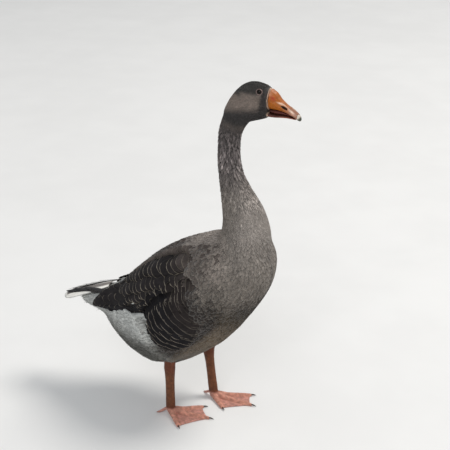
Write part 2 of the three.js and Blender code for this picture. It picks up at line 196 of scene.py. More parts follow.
def setTint(piece, colours):  # a fourth column fourth column is the strength of the pale fringe
    if colours.shape[1] == 3:
        colours = np.column_stack([colours, np.ones(len(colours))])
    layer = piece.data.color_attributes.new("tint", "FLOAT_COLOR", "POINT")
    layer.data.foreach_set("color", colours.astype(np.float32).ravel())


def setNumber(piece, values, name):
    layer = piece.data.attributes.new(name, "FLOAT", "POINT")
    layer.data.foreach_set("value", values.astype(np.float32))


def treeOf(piece):
    return BVHTree.FromObject(piece, bpy.context.evaluated_depsgraph_get())


def shadeSmooth(piece):
    piece.data.polygons.foreach_set("use_smooth", [True] * len(piece.data.polygons))
    piece.data.update()


def finishPiece(piece, material, slot, *replaced):
    shadeSmooth(piece)
    piece.data.materials.clear()
    piece.data.materials.append(material)
    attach(piece, "root")
    if replaced:
        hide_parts(*replaced)
    return piece


viewpoint = {"from": (861, -1703, 1249), "to": (0, 62, 375), "focal": 1140, "side": 450}
studio = {
    "key": {"at": (3.0, 2.2, 6.4), "size": 3.0, "watts": 330, "colour": (1, 0.97, 0.93)},
    "fill": {"at": (1.4, -5.2, 4.4), "size": 4.0, "watts": 120, "colour": (0.96, 0.98, 1)},
    "sky": (0.93, 0.96, 1.0),
    "skyStrength": 0.5,
    "floor": (0.8, 0.795, 0.78),
    "aim": (0, 0, 0.35),
}


def aim(name, data, at, target):
    item = bpy.data.objects.new(name, data)
    bpy.context.collection.objects.link(item)
    item.location = at
    item.rotation_mode = "QUATERNION"
    item.rotation_quaternion = (Vector(target) - Vector(at)).to_track_quat("-Z", "Y")
    return item


def makeCamera():
    data = bpy.data.cameras.new("camera")
    data.sensor_width = 36
    data.lens = 36 * viewpoint["focal"] / viewpoint["side"]
    camera = aim("camera", data, spot(*viewpoint["from"]), spot(*viewpoint["to"]))
    bpy.context.scene.camera = camera


def makeLight(name, at, size, watts, colour):
    data = bpy.data.lights.new(name, "AREA")
    data.shape = "DISK"
    data.size = size
    data.energy = watts
    data.color = colour
    aim(name, data, at, studio["aim"])


def feed(tree, sockets, inputs):  # links or sets each input
    for key, value in inputs.items():
        if isinstance(value, bpy.types.NodeSocket):
            tree.links.new(value, sockets[key])
        else:
            sockets[key].default_value = value


def addNode(tree, kind, inputs=None, **settings):
    made = tree.nodes.new("ShaderNode" + kind)
    for key, value in settings.items():
        setattr(made, key, value)
    feed(tree, made.inputs, inputs or {})
    return made


def calc(tree, operation, *values, clamp=False):
    return addNode(tree, "Math", dict(enumerate(values)), operation=operation, use_clamp=clamp).outputs[0]


def times(tree, first, second, extra=None):  # a product, with an extra added to it
    if extra is None:
        return calc(tree, "MULTIPLY", first, second)
    return calc(tree, "MULTIPLY_ADD", first, second, extra)


def less(tree, first, second, clamp=False):
    return calc(tree, "SUBTRACT", first, second, clamp=clamp)


def mixColour(tree, share, first, second):
    return addNode(tree, "Mix", {0: share, 6: first, 7: second}, data_type="RGBA").outputs[2]


def between(tree, value, low, high, toLow=0.0, toHigh=1.0):
    made = addNode(tree, "MapRange", {0: value, 1: low, 2: high, 3: toLow, 4: toHigh})
    made.interpolation_type = "SMOOTHSTEP"
    return made.outputs[0]


def objectPlace(tree):
    return addNode(tree, "TexCoord").outputs["Object"]


def noise(tree, scale, detail):
    inputs = {"Vector": objectPlace(tree), "Scale": scale, "Detail": detail}
    return addNode(tree, "TexNoise", inputs).outputs[0]


def attribute(tree, name, output="Fac"):
    return addNode(tree, "Attribute", attribute_name=name).outputs[output]


def newGroup(name, inputs, outputs):
    group = bpy.data.node_groups.new(name, "ShaderNodeTree")
    for label, kind, value in inputs:
        socket = group.interface.new_socket(label, in_out="INPUT", socket_type="NodeSocket" + kind)
        socket.default_value = value
    for label, kind in outputs:
        group.interface.new_socket(label, in_out="OUTPUT", socket_type="NodeSocket" + kind)
    entry = group.nodes.new("NodeGroupInput")
    leave = group.nodes.new("NodeGroupOutput")
    return group, entry.outputs, leave.inputs


def makeVaneGroup():  # a feather's fringe, shaft and barbs, on its own length and width
    group, given, out = newGroup(
        "featherVane",
        [
            ("Tint", "Color", (0.2, 0.18, 0.16, 1)),
            ("Fringe Colour", "Color", (0.6, 0.55, 0.48, 1)),
            ("Fringe", "Float", 0.5),
            ("Fringe Width", "Float", 0.16),
            ("Round From", "Float", 0.7),
            ("Slimness", "Float", 3.0),
            ("Fringe From", "Float", 0.3),
            ("Shaft", "Float", 0.3),
            ("Barbs", "Float", 0.25),
            ("Barb Count", "Float", 42.0),
        ],
        [("Color", "Color"), ("Height", "Float")],
    )
    place = addNode(group, "SeparateXYZ", {0: addNode(group, "UVMap", uv_map="Vane").outputs[0]})
    across = calc(group, "ABSOLUTE", times(group, place.outputs[0], 2.0, -1.0))
    along = place.outputs[1]
    grain = noise(group, 420.0, 2.0)
    inward = calc(group, "SQRT", less(group, 1.0, times(group, across, across), clamp=True))
    outline = times(group, less(group, 1.0, given["Round From"]), inward, given["Round From"])
    fromTip = times(group, less(group, outline, along), given["Slimness"])
    fromEdge = calc(group, "MINIMUM", less(group, 1.0, across), fromTip)
    edge = times(group, times(group, grain, 0.9, -0.45), given["Fringe Width"], fromEdge)
    inner = times(group, given["Fringe Width"], 0.45)
    rim = between(group, edge, inner, given["Fringe Width"], 1.0, 0.0)
    later = calc(group, "ADD", given["Fringe From"], 0.25)
    outer = between(group, along, given["Fringe From"], later)
    fringe = times(group, times(group, rim, given["Fringe"]), outer)
    colour = mixColour(group, fringe, given["Tint"], given["Fringe Colour"])
    slant = times(group, grain, 0.02, times(group, across, -0.16, along))
    barb = calc(group, "SINE", times(group, slant, times(group, given["Barb Count"], 6.283)))
    dark = times(group, times(group, barb, 0.5, 0.5), given["Barbs"])
    colour = mixColour(group, dark, colour, (0.03, 0.026, 0.024, 1))
    shaft = between(group, across, 0.0, 0.09, 1.0, 0.0)
    colour = mixColour(group, times(group, shaft, given["Shaft"]), colour, (0.025, 0.02, 0.018, 1))
    feed(group, out, {"Color": colour, "Height": times(group, shaft, 0.8, times(group, barb, 0.35))})
    return group


def makeMottleGroup():  # soft uneven colour, as on any plumage or skin
    group, given, out = newGroup(
        "mottle",
        [("Color", "Color", (0.5, 0.5, 0.5, 1)), ("Size", "Float", 60.0), ("Amount", "Float", 0.3)],
        [("Color", "Color"), ("Factor", "Float")],
    )
    coarse = noise(group, given["Size"], 4.0)
    small = noise(group, times(group, given["Size"], 5.0), 2.0)
    both = calc(group, "ADD", times(group, coarse, 0.65), times(group, small, 0.35))
    factor = times(group, between(group, both, 0.36, 0.64, -1.0, 1.0), given["Amount"], 1.0)
    scaled = addNode(group, "VectorMath", {0: given["Color"], "Scale": factor}, operation="SCALE").outputs[0]
    feed(group, out, {"Color": scaled, "Factor": factor})
    return group


def makeScuteGroup():  # the plates and wrinkles of a bird's leg
    group, given, out = newGroup(
        "scutes",
        [("Size", "Float", 520.0), ("Run", "Float", 0.0), ("Bands", "Float", 0.5)],
        [("Height", "Float"), ("Crease", "Float")],
    )
    inputs = {"Vector": objectPlace(group), "Scale": given["Size"]}
    cells = addNode(group, "TexVoronoi", inputs, feature="DISTANCE_TO_EDGE")
    plate = between(group, cells.outputs["Distance"], 0.0, 0.22)
    band = calc(group, "SINE", times(group, given["Run"], 2.9))
    band = between(group, calc(group, "ABSOLUTE", band), 0.0, 0.5)
    share = times(group, plate, less(group, 1.0, given["Bands"]))
    height = calc(group, "ADD", share, times(group, band, given["Bands"]))
    feed(group, out, {"Height": height, "Crease": less(group, 1.0, height)})
    return group


vaneGroup = makeVaneGroup()
mottleGroup = makeMottleGroup()
scuteGroup = makeScuteGroup()


def useGroup(tree, group, inputs):
    made = tree.nodes.new("ShaderNodeGroup")
    made.node_tree = group
    feed(tree, made.inputs, inputs)
    return made.outputs


def mottled(tree, colour, size, amount):
    return useGroup(tree, mottleGroup, {"Color": colour, "Size": size, "Amount": amount})


def newMaterial(name, **sockets):
    material = bpy.data.materials.new(name)
    material.use_nodes = True
    tree = material.node_tree
    shader = tree.nodes["Principled BSDF"]
    for key, value in sockets.items():
        shader.inputs[key.replace("_", " ")].default_value = value
    return material, tree, shader.inputs


def bumpFrom(tree, height, strength, distance):
    return addNode(tree, "Bump", {"Height": height, "Strength": strength, "Distance": distance}).outputs[0]


def makePlumage(name, look):
    material, tree, surface = newMaterial(
        name, Sheen_Weight=look["sheen"], Sheen_Roughness=0.45, Specular_IOR_Level=look["gloss"]
    )
    vane = useGroup(
        tree,
        vaneGroup,
        {
            "Tint": attribute(tree, "tint", "Color"),
            "Fringe": attribute(tree, "tint", "Alpha"),
            "Fringe Colour": (*look["fringe"], 1),
            "Fringe Width": look["width"],
            "Round From": look["round"],
            "Slimness": look["slim"],
            "Fringe From": look["from"],
            "Shaft": look["shaft"],
            "Barbs": look["barbs"],
            "Barb Count": look["count"],
        },
    )
    uneven = mottled(tree, vane["Color"], look["mottle"], look["uneven"])
    rough = times(tree, uneven["Factor"], -0.12, look["rough"] + 0.12)
    bump = bumpFrom(tree, vane["Height"], 0.35, 0.0003)
    feed(tree, surface, {"Base Color": uneven["Color"], "Roughness": rough, "Normal": bump})
    return material


plumageLooks = {
    "softPlumage": {
        "fringe": paint(172, 164, 152), "width": 0.3, "round": 0.55, "slim": 3.8, "from": 0.3,
        "shaft": 0.05,
        "barbs": 0.1, "count": 24.0, "sheen": 0.15, "gloss": 0.15, "rough": 0.85, "mottle": 70.0,
        "uneven": 0.12,
    },
    "wingPlumage": {
        "fringe": paint(162, 152, 137), "width": 0.08, "round": 0.7, "slim": 3.2, "from": 0.35,
        "shaft": 0.2,
        "barbs": 0.2, "count": 60.0, "sheen": 0.0, "gloss": 0.09, "rough": 0.62, "mottle": 55.0,
        "uneven": 0.2,
    },
    "flankPlumage": {
        "fringe": paint(150, 141, 129), "width": 0.085, "round": 0.9, "slim": 2.4, "from": 0.72,
        "shaft": 0.05,
        "barbs": 0.2, "count": 46.0, "sheen": 0.0, "gloss": 0.09, "rough": 0.68, "mottle": 55.0,
        "uneven": 0.2,
    },
    "flightPlumage": {
        "fringe": paint(150, 138, 120), "width": 0.12, "round": 0.78, "slim": 12.0, "from": 0.2,
        "shaft": 0.5,
        "barbs": 0.2, "count": 110.0, "sheen": 0.05, "gloss": 0.35, "rough": 0.55, "mottle": 40.0,
        "uneven": 0.14,
    },
    "tailPlumage": {
        "fringe": paint(240, 238, 231), "width": 0.5, "round": 0.8, "slim": 10.0, "from": 0.2, "shaft": 0.4,
        "barbs": 0.1, "count": 90.0, "sheen": 0.08, "gloss": 0.3, "rough": 0.62, "mottle": 50.0,
        "uneven": 0.08,
    },
}
plumage = {name: makePlumage(name, look) for name, look in plumageLooks.items()}


def makeSkinMaterial():
    material, tree, surface = newMaterial("skinSurface", Specular_IOR_Level=0.28)
    scaly = attribute(tree, "scaly")
    scutes = useGroup(tree, scuteGroup, {"Run": attribute(tree, "run"), "Bands": attribute(tree, "banded")})
    uneven = mottled(tree, attribute(tree, "tint", "Color"), 160.0, 0.22)
    crease = times(tree, scutes["Crease"], times(tree, scaly, 0.22))
    colour = mixColour(tree, crease, uneven["Color"], (0.13, 0.05, 0.035, 1))
    rough = times(tree, uneven["Factor"], -0.2, 0.72)
    bump = bumpFrom(tree, times(tree, scutes["Height"], scaly), 0.8, 0.0006)
    feed(tree, surface, {"Base Color": colour, "Roughness": rough, "Normal": bump})
    return material


def makeHornMaterial(name, rough, grainSize):
    material, tree, surface = newMaterial(
        name, Specular_IOR_Level=0.22, Coat_Weight=0.06, Coat_Roughness=0.3, Subsurface_Weight=0.0
    )
    uneven = mottled(tree, attribute(tree, "tint", "Color"), grainSize, 0.14)
    rough = times(tree, uneven["Factor"], -0.25, rough + 0.25)
    grain = calc(tree, "ADD", noise(tree, 900.0, 3.0), attribute(tree, "comb"))
    bump = bumpFrom(tree, grain, 0.3, 0.0004)
    feed(tree, surface, {"Base Color": uneven["Color"], "Roughness": rough, "Normal": bump})
    return material


def makeEyeMaterial():
    material, tree, surface = newMaterial(
        "wetEye", Roughness=0.08, Specular_IOR_Level=0.1, Coat_Weight=0.1, Coat_Roughness=0.03
    )
    streak = times(tree, noise(tree, 1400.0, 2.0), 0.5)
    colour = mixColour(tree, streak, attribute(tree, "tint", "Color"), (0.01, 0.006, 0.004, 1))
    feed(tree, surface, {"Base Color": colour})
    return material


def makeFloor():
    half = 40
    bpy.ops.mesh.primitive_plane_add(size=2 * half, location=(0, 0, 0))
    floor = bpy.context.object
    floor.name = "studio_floor"
    material, tree, surface = newMaterial("paleFloor", Roughness=0.85, Specular_IOR_Level=0.2)
    feed(tree, surface, {"Base Color": mottled(tree, (*studio["floor"], 1), 1.5, 0.02)["Color"]})
    floor.data.materials.append(material)


def makeWorld():
    world = bpy.data.worlds.new("studio")
    bpy.context.scene.world = world
    world.use_nodes = True
    background = world.node_tree.nodes["Background"].inputs
    feed(world.node_tree, background, {"Color": (*studio["sky"], 1), "Strength": studio["skyStrength"]})


makeCamera()
deselect()
makeFloor()
makeWorld()
for lamp in ("key", "fill"):
    makeLight(lamp, **studio[lamp])
bpy.context.scene.view_settings.view_transform = "Standard"
print("stage: camera, floor and lights")


hues = {
    "breast": paint(126, 118, 110), "upperBreast": paint(144, 136, 129), "shadedLowBreast": paint(42, 35, 26),
    "shadedBelly": paint(106, 92, 74), "flank": paint(42, 37, 36), "mantle": paint(82, 74, 70),
    "shoulder": paint(160, 149, 140), "white": paint(210, 211, 207), "shadedVent": paint(72, 70, 62),
    "neck": paint(94, 87, 86), "nape": paint(60, 56, 55), "throat": paint(68, 62, 61),
    "frontNeck": paint(172, 163, 156), "crown": paint(58, 55, 52), "cheek": paint(144, 130, 120),
    "lore": paint(60, 54, 52), "jaw": paint(50, 46, 45), "scapular": paint(62, 56, 53),
    "thigh": paint(112, 103, 92), "billRim": paint(200, 170, 148),
}


# the body's top, bottom and half width along it, on which the wing and flank lie
girth = np.array([
    [-240, 74, 26, 28], [-205, 74, 8, 38], [-175, 73, -18, 51], [-150, 72, -56, 62], [-124, 69, -101, 73],
    [-88, 82, -117, 86], [-45, 97, -115, 93], [0, 108, -106, 96], [45, 114, -93, 95], [90, 116, -71, 89],
    [130, 113, -46, 81], [162, 104, -24, 72], [182, 94, -5, 60],
])


def girthAt(along):
    return (np.interp(along, girth[:, 0], girth[:, k]) for k in (1, 2, 3))


def sidePlace(points):  # along the body, and degrees up from the middle of its side
    along, out, up = toFrame(bodyFrame, points)
    over, under, wide = girthAt(along)
    return along, np.degrees(np.arctan2((up - (over + under) / 2) * 2 / (over - under), np.abs(out) / wide))


def neckMiddle(z):
    return np.interp(z, [400, 450, 500, 560, 600], [70, 64, 46, 38, 44])


bill = copyOf("bill", ["bill_upper", "bill_lower"])
billTree = treeOf(bill)
bpy.data.objects.remove(bill)


def billGap(points):  # millimetres to the bill, worked out for the face alone
    gaps = np.full(len(points), 99.0)
    x, _, z = birdCoords(points)
    for index in np.flatnonzero((z > 620) & (x > 100)):
        gaps[index] = billTree.find_nearest(Vector(points[index]))[3] / mm
    return gaps


def markings(points):  # colour of the plumage at each place, with the strength of its pale fringe
    x, y, z = birdCoords(points)
    along, _, up = toFrame(bodyFrame, points)
    wide = np.abs(y)
    patch = ripple(points, 42, 11) * 0.5 + ripple(points, 16, 12) * 0.5
    white = ease(-30, -50, along + 5 * patch)
    head = ease(598, 622, z + (x - 40) * 0.35)
    _, turn = sidePlace(points)
    scapular = ease(156, 100, along - 0.25 * turn) * ease(12, 26, turn) * ease(74, 58, turn) * (1 - white)
    nearFlank = ease(130, 82, along + 4 * patch) * ease(-50, -36, turn) * ease(32, 16, turn) * (1 - white)
    tint = washes(
        hues,
        "breast",
        ("upperBreast", ease(330, 405, z) * ease(20, 90, x)),
        # the lower breast faces down and is darkened here: painted shade
        ("shadedLowBreast", ease(334, 256, z + 5 * patch)),
        # the underside of the body is darker and browner: painted shade
        ("shadedBelly", ease(30, -40, up) * ease(150, 60, along)),
        ("shoulder", ease(40, 80, up) * ease(175, 140, along)),
        ("mantle", ease(62, 92, up) * ease(105, 40, along)),
        ("thigh", ease(178, 150, z) * ease(-60, -30, x)),
        ("white", white),
        # the white rear turns grey towards the bottom: painted shade
        ("shadedVent", white * ease(206, 152, z) * 0.9),
        ("frontNeck", ease(395, 430, z) * ease(60, 95, x) * 0.7),
        ("neck", ease(462, 528, z) * 0.85),
        ("nape", ease(-2, -18, x - neckMiddle(z)) * ease(480, 540, z) * 0.8),
        ("neck", ease(520, 560, z)),
        ("throat", ease(540, 600, z) * 0.8),
        ("cheek", head),
        ("crown", head * ease(656, 667, z - 0.05 * x + 2 * patch)),
        ("lore", head * ease(103, 111, x - 0.12 * (z - 650)) * ease(680, 668, z)),
        ("jaw", head * ease(646, 628, z - 0.1 * (x - 60))),
        ("scapular", scapular * (0.72 + 0.12 * patch)),
        ("flank", nearFlank * 0.95),
    )
    fringe = 0.12 + 0.1 * scapular - 0.06 * nearFlank + 0.1 * ease(60, 90, wide)
    fringe = np.where(z > 420, 0.2, fringe) * (1 - white) * (1 - head)
    # a dark line down the middle of the breast, where its two sides meet: painted shade in the crease
    creaseShade = np.exp(-((y / 3.4) ** 2)) * ease(236, 262, z) * ease(410, 350, z) * (x > 80)
    tint = tint * (1 - 0.6 * creaseShade)[:, None]
    uneven = 1 + 0.1 * patch * (1 - 0.7 * white) * (1 - 0.6 * head)
    return tint * uneven[:, None], fringe


flesh = ["trunk", "neck_lower", "neck_upper", "rump", "thigh_right", "thigh_left"]
wings = ["wing_right", "wing_left", "flank_right", "flank_left"]
legNodes = ["shank_right", "shank_left", "foot_right", "foot_left"]
eyes = ["eye_right", "eye_left"]


def evenBody(places):
    z = birdCoords(places)[2]
    return np.where(z > 560, 0.12 + 0.88 * ease(590, 540, z), 1.0) * ease(128, 160, z)


def regrow(piece, tree):  # gives a smoothed surface its size back without its facets
    places, normals = vertexPlaces(piece), vertexNormals(piece)
    near = np.array([tree.find_nearest(Vector(place))[0] for place in places])
    gap = ((near - places) * normals).sum(1)
    ends = np.empty(len(piece.data.edges) * 2, dtype=np.int32)
    piece.data.edges.foreach_get("vertices", ends)
    first, second = ends.reshape(-1, 2).T
    links = np.bincount(ends, minlength=len(gap))
    for _ in range(60):
        total = np.bincount(first, gap[second], len(gap)) + np.bincount(second, gap[first], len(gap))
        gap = total / np.maximum(links, 1)
    moveVertices(piece, places + normals * gap[:, None])


def makeGuide(name, nodes, turns):
    guide = voxelCopy(name, nodes, 2.6, 5)
    if turns:
        shape = treeOf(guide)
        smoothBy(guide, turns, evenBody)
        regrow(guide, shape)
    return guide


bodyGuide = makeGuide("bodyGuide", [*flesh, "head", *eyes, "shank_right", "shank_left"], 60)
bodyTree = treeOf(bodyGuide)
fullGuide = makeGuide("fullGuide", [*flesh, "head", *eyes, *wings, "shank_right", "shank_left"], 0)
near = [bodyTree.find_nearest(Vector(place)) for place in vertexPlaces(fullGuide)]
plain = ease(3.4, 1.6, np.array([found[3] for found in near]) / mm)  # where no wing or flank lies over it
places = vertexPlaces(fullGuide)
moveVertices(fullGuide, blend(places, np.array([found[0] for found in near]), plain))
smoothBy(fullGuide, 8)
smoothBy(fullGuide, 90, lambda places: ease(20, 75, toFrame(bodyFrame, places)[0]) * (places[:, 2] < 0.44))
fullTree = treeOf(fullGuide)
print("guides:", len(bodyGuide.data.vertices), len(fullGuide.data.vertices), "vertices")


skinLook = {
    "heights": [0, 118, 150, 400, 470, 590, 625], "depths": [0.8, 0.8, 5.5, 5.5, 3.2, 2.6, 1.1],
    "headVoxel": 1.3, "legVoxel": 1.05, "leg": paint(114, 69, 42), "ankle": paint(106, 56, 34),
    "toe": paint(206, 146, 126), "web": paint(206, 148, 133), "legSwell": 0.8, "lid": paint(150, 128, 122),
    "lidRadius": 5.1, "lidThickness": 0.62,
}


def coatDepth(places):  # how far the skin lies below the tips of the coat
    return np.interp(birdCoords(places)[2], skinLook["heights"], skinLook["depths"]) * mm


def eyeNormal(side):
    _, normal, _, _ = bodyTree.find_nearest(Vector(spot(102, side * 24, 673)))
    return normal


def bodySkin():
    piece = fullGuide.copy()
    piece.data = fullGuide.data.copy()
    bpy.context.collection.objects.link(piece)
    piece.name = "skin"
    places = vertexPlaces(piece)
    moveVertices(piece, places - vertexNormals(piece) * coatDepth(places)[:, None])
    smoothBy(piece, 3)
    return piece


def headSkin():
    piece = voxelCopy("headSkin", ["head", "neck_upper", *eyes], skinLook["headVoxel"], 26)
    places = vertexPlaces(piece)
    moveVertices(piece, places - vertexNormals(piece) * (coatDepth(places)[:, None] - 0.0003))
    return piece


def legSkin(name):
    piece = voxelCopy("legSkin_" + name, ["shank_" + name, "foot_" + name], skinLook["legVoxel"], 4)
    places = vertexPlaces(piece)
    swell = skinLook["legSwell"] * mm * ease(12, 30, places[:, 2] / mm)
    places = places + vertexNormals(piece) * swell[:, None]
    places[:, 2] = np.maximum(places[:, 2], 0)
    moveVertices(piece, places)
    return piece


def lidOf(name, side):  # the bare rim of the eyelids, lying on the eyeball
    normal = eyeNormal(side)
    centre = Vector(eyeMiddle(side))
    radius = skinLook["lidRadius"] * mm
    reach = math.sqrt((6.2 * mm) ** 2 - radius ** 2)
    deselect()
    bpy.ops.mesh.primitive_torus_add(
        location=centre + normal * reach,
        rotation=normal.to_track_quat("Z", "Y").to_euler(),
        major_radius=radius,
        minor_radius=skinLook["lidThickness"] * mm,
        major_segments=44,
        minor_segments=10,
    )
    lid = bpy.context.object
    lid.name = "lid_" + name
    bpy.ops.object.transform_apply(location=True, rotation=True, scale=True)
    places = vertexPlaces(lid)
    drop = places[:, 2] - centre.z
    places[:, 2] = centre.z + drop * 0.93  # a little wider than high
    moveVertices(lid, places)
    return lid


def unite(piece, *others):
    for other in others:
        modify(piece, "BOOLEAN", operation="UNION", solver="MANIFOLD", object=other)
        bpy.data.objects.remove(other)
    return piece


heels = {"right": (-67, -43), "left": (-17, 45)}
legTops = {"right": (-66, -44), "left": (-16, 44)}


def legGap(places):  # millimetres from the middle line of the nearer leg
    x, y, _ = birdCoords(places)
    return np.min([np.hypot(x - legTops[name][0], y - legTops[name][1]) for name in sides], axis=0)


def toeLines(name):
    start = spot(*heels[name], 4)
    ends = []
    for toe in ("inner", "middle", "outer"):
        low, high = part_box("claw_" + toe + "_" + name)
        ends.append(np.array((low + high) / 2) * [1, 1, 0] + [0, 0, start[2]])
    return start, ends


def skinTint(piece):
    places = vertexPlaces(piece)
    z = birdCoords(places)[2]
    tint, _ = markings(places)
    tint = blend(tint * 0.8, hues["billRim"], ease(2.8, 1.8, billGap(places)) * 0.9)
    bare = ease(134, 124, z) * np.maximum(ease(26, 18, legGap(places)), ease(104, 98, z))
    lowAnkle = ease(30, 16, z) * ease(8, 14, z) * 0.6
    leg = washes(skinLook, "leg", ("ankle", ease(88, 104, z)), ("ankle", lowAnkle))
    run = z.copy()
    banded = np.zeros(len(places))
    for name in sides:
        start, ends = toeLines(name)
        near = np.full(len(places), 1e9)
        length = np.zeros(len(places))
        for end in ends:
            way = end - start
            share = np.clip(((places - start) @ way) / (way @ way), 0, 1)
            gap = np.linalg.norm((places - start - share[:, None] * way) * [1, 1, 0.6], axis=1) / mm
            length = np.where(gap < near, share * np.linalg.norm(way) / mm, length)
            near = np.minimum(near, gap)
        own = (places[:, 1] * sides[name] > 0) & (z < 18)
        foot = own * ease(17, 11, z)
        toe = ease(7.5, 4.5, near)
        leg = blend(leg, skinLook["web"], foot * (1 - toe))
        leg = blend(leg, skinLook["toe"], foot * toe)
        run = np.where(own & (foot > 0.5), length, run)
        banded = np.where(own & (foot > 0.5), toe, banded)
    tint = blend(tint, leg * (1 + 0.08 * ripple(places, 9, 31))[:, None], bare)
    for side in sides.values():
        centre = eyeMiddle(side) + np.array(eyeNormal(side)) * 3.6 * mm
        around = np.linalg.norm(places - centre, axis=1) / mm
        tint = blend(tint, skinLook["lid"], ease(6.1, 5.2, around))
    setTint(piece, tint)
    setNumber(piece, run, "run")
    setNumber(piece, banded, "banded")
    setNumber(piece, bare, "scaly")


skin = unite(
    bodySkin(), headSkin(), legSkin("right"), legSkin("left"), lidOf("right", -1), lidOf("left", 1)
)
skinTint(skin)
finishPiece(skin, makeSkinMaterial(), "leg_skin", *flesh, "head", *wings, *legNodes)
print("skin:", len(skin.data.vertices), "vertices", [round(v, 4) for v in skin.dimensions])


# a place on the goose and the way its feathers point there
lieAnchors = [
    [[114, 0, 682], [-1, 0, 0.25]], [[75, 0, 686], [-1, 0, -0.05]], [[40, 0, 655], [-0.5, 0, -1]],
    [[85, 24, 660], [-1, 0, -0.15]], [[55, 24, 640], [-0.75, 0, -0.7]], [[100, 0, 620], [-1, 0, -0.15]],
    [[60, 10, 608], [-0.55, 0, -0.9]], [[28, 0, 612], [-0.25, 0, -1]], [[40, 20, 560], [-0.03, 0, -1]],
    [[40, 20, 515], [0.05, 0, -1]], [[60, 36, 470], [0.08, 0, -1]], [[75, 60, 410], [-0.02, 0, -1]],
    [[112, 0, 420], [0.12, 0, -1]], [[28, 0, 420], [-0.35, 0, -1]], [[10, 0, 365], [-0.9, 0, -0.5]],
    [[145, 0, 350], [0.05, 0, -1]], [[150, 0, 300], [-0.2, 0, -1]], [[135, 0, 250], [-0.5, 0, -0.9]],
    [[90, 75, 340], [-0.4, 0, -0.9]], [[60, 90, 300], [-0.65, 0, -0.75]], [[100, 60, 260], [-0.6, 0, -0.8]],
    [[80, 0, 185], [-0.8, 0, -0.5]], [[20, 0, 140], [-0.95, 0, -0.2]], [[-50, 0, 115], [-1, 0, 0.1]],
    [[10, 90, 240], [-0.75, 0, -0.6]], [[-60, 90, 220], [-0.8, 0, -0.5]], [[20, 50, 160], [-0.7, 0, -0.7]],
    [[-110, 0, 130], [-0.95, 0, 0.45]], [[-160, 0, 175], [-0.8, 0, 0.6]],
    [[-130, 60, 190], [-0.9, 0, 0.05]],
    [[-80, 0, 320], [-0.93, 0, -0.36]], [[-160, 0, 280], [-0.93, 0, -0.36]],
    [[-220, 0, 240], [-0.95, 0, -0.2]],
    [[-2, 44, 168], [-0.1, 0, -1]], [[-2, 44, 135], [0.05, 0, -1]],
]


def lieAt(points):
    x, y, z = birdCoords(points)
    spots = np.stack([x, np.abs(y), z], axis=1)
    total = np.zeros((len(points), 3))
    for place, way in lieAnchors:
        way = np.array(way) / np.linalg.norm(way)
        gap = ((spots - place) ** 2).sum(1)
        total += way / (gap + 64)[:, None] ** 1.6
    return total / np.linalg.norm(total, axis=1)[:, None]


rings = {  # across from edge to edge over the top, then back below; with the height above the vane
    "blade": ([-1, 0, 1], [0, 1, 0]),
    "vane": ([-1, 0, 1, 0], [0, 1, 0, -0.7]),
    "broad": ([-1, -0.5, 0, 0.5, 1, 0.5, 0, -0.5], [0, 0.8, 1.2, 0.8, 0, -0.5, -0.7, -0.5]),
}
forms = {  # shares of the length, and how wide the feather is there
    "fluff": {"ring": "blade", "shares": [0, 0.45, 1], "widths": [0.35, 1, 0.08]},
    "velvet": {"ring": "blade", "shares": [0, 0.5, 1], "widths": [0.5, 1, 0.12]},
    "contour": {
        "ring": "vane",
        "shares": [0, 0.3, 0.55, 0.75, 0.9, 1],
        "widths": [0.45, 0.85, 1, 0.94, 0.68, 0.15],
    },
    "narrow": {"ring": "vane", "shares": [0, 0.45, 0.8, 1], "widths": [0.5, 1, 0.8, 0.15]},
    "covert": {
        "ring": "broad",
        "shares": [0, 0.3, 0.55, 0.7, 0.8, 0.88, 0.94, 0.98, 1],
        "widths": [0.4, 0.8, 0.96, 1, 0.943, 0.8, 0.6, 0.36, 0.1],
    },
    "square": {
        "ring": "broad",
        "shares": [0, 0.3, 0.6, 0.8, 0.9, 0.945, 0.975, 0.993, 1],
        "widths": [0.5, 0.85, 1, 1, 1, 0.9, 0.66, 0.37, 0.15],
    },
    "quill": {
        "ring": "broad",
        "shares": [0, 0.25, 0.5, 0.78, 0.87, 0.93, 0.97, 1],
        "widths": [0.5, 0.85, 1, 1, 0.91, 0.73, 0.5, 0.12],
    },
}


def overSurface(tree, starts, ways, lengths, shares, fromTip=False):  # a middle line along the surface
    count, steps = len(starts), len(shares)
    spots = np.empty((count, steps, 3))
    ups = np.empty((count, steps, 3))
    alongs = np.empty((count, steps, 3))
    order = range(steps - 1, -1, -1) if fromTip else range(steps)
    for i in range(count):
        place, way, last = Vector(starts[i]), Vector(ways[i]), None
        for k in order:
            if last is not None:
                place = place + way * (lengths[i] * (shares[k] - last))
            place, up, _, _ = tree.find_nearest(place)
            way = way - up * way.dot(up)
            way.normalize()
            spots[i, k], ups[i, k], alongs[i, k] = place, up, way
            last = shares[k]
    return spots, ups, alongs


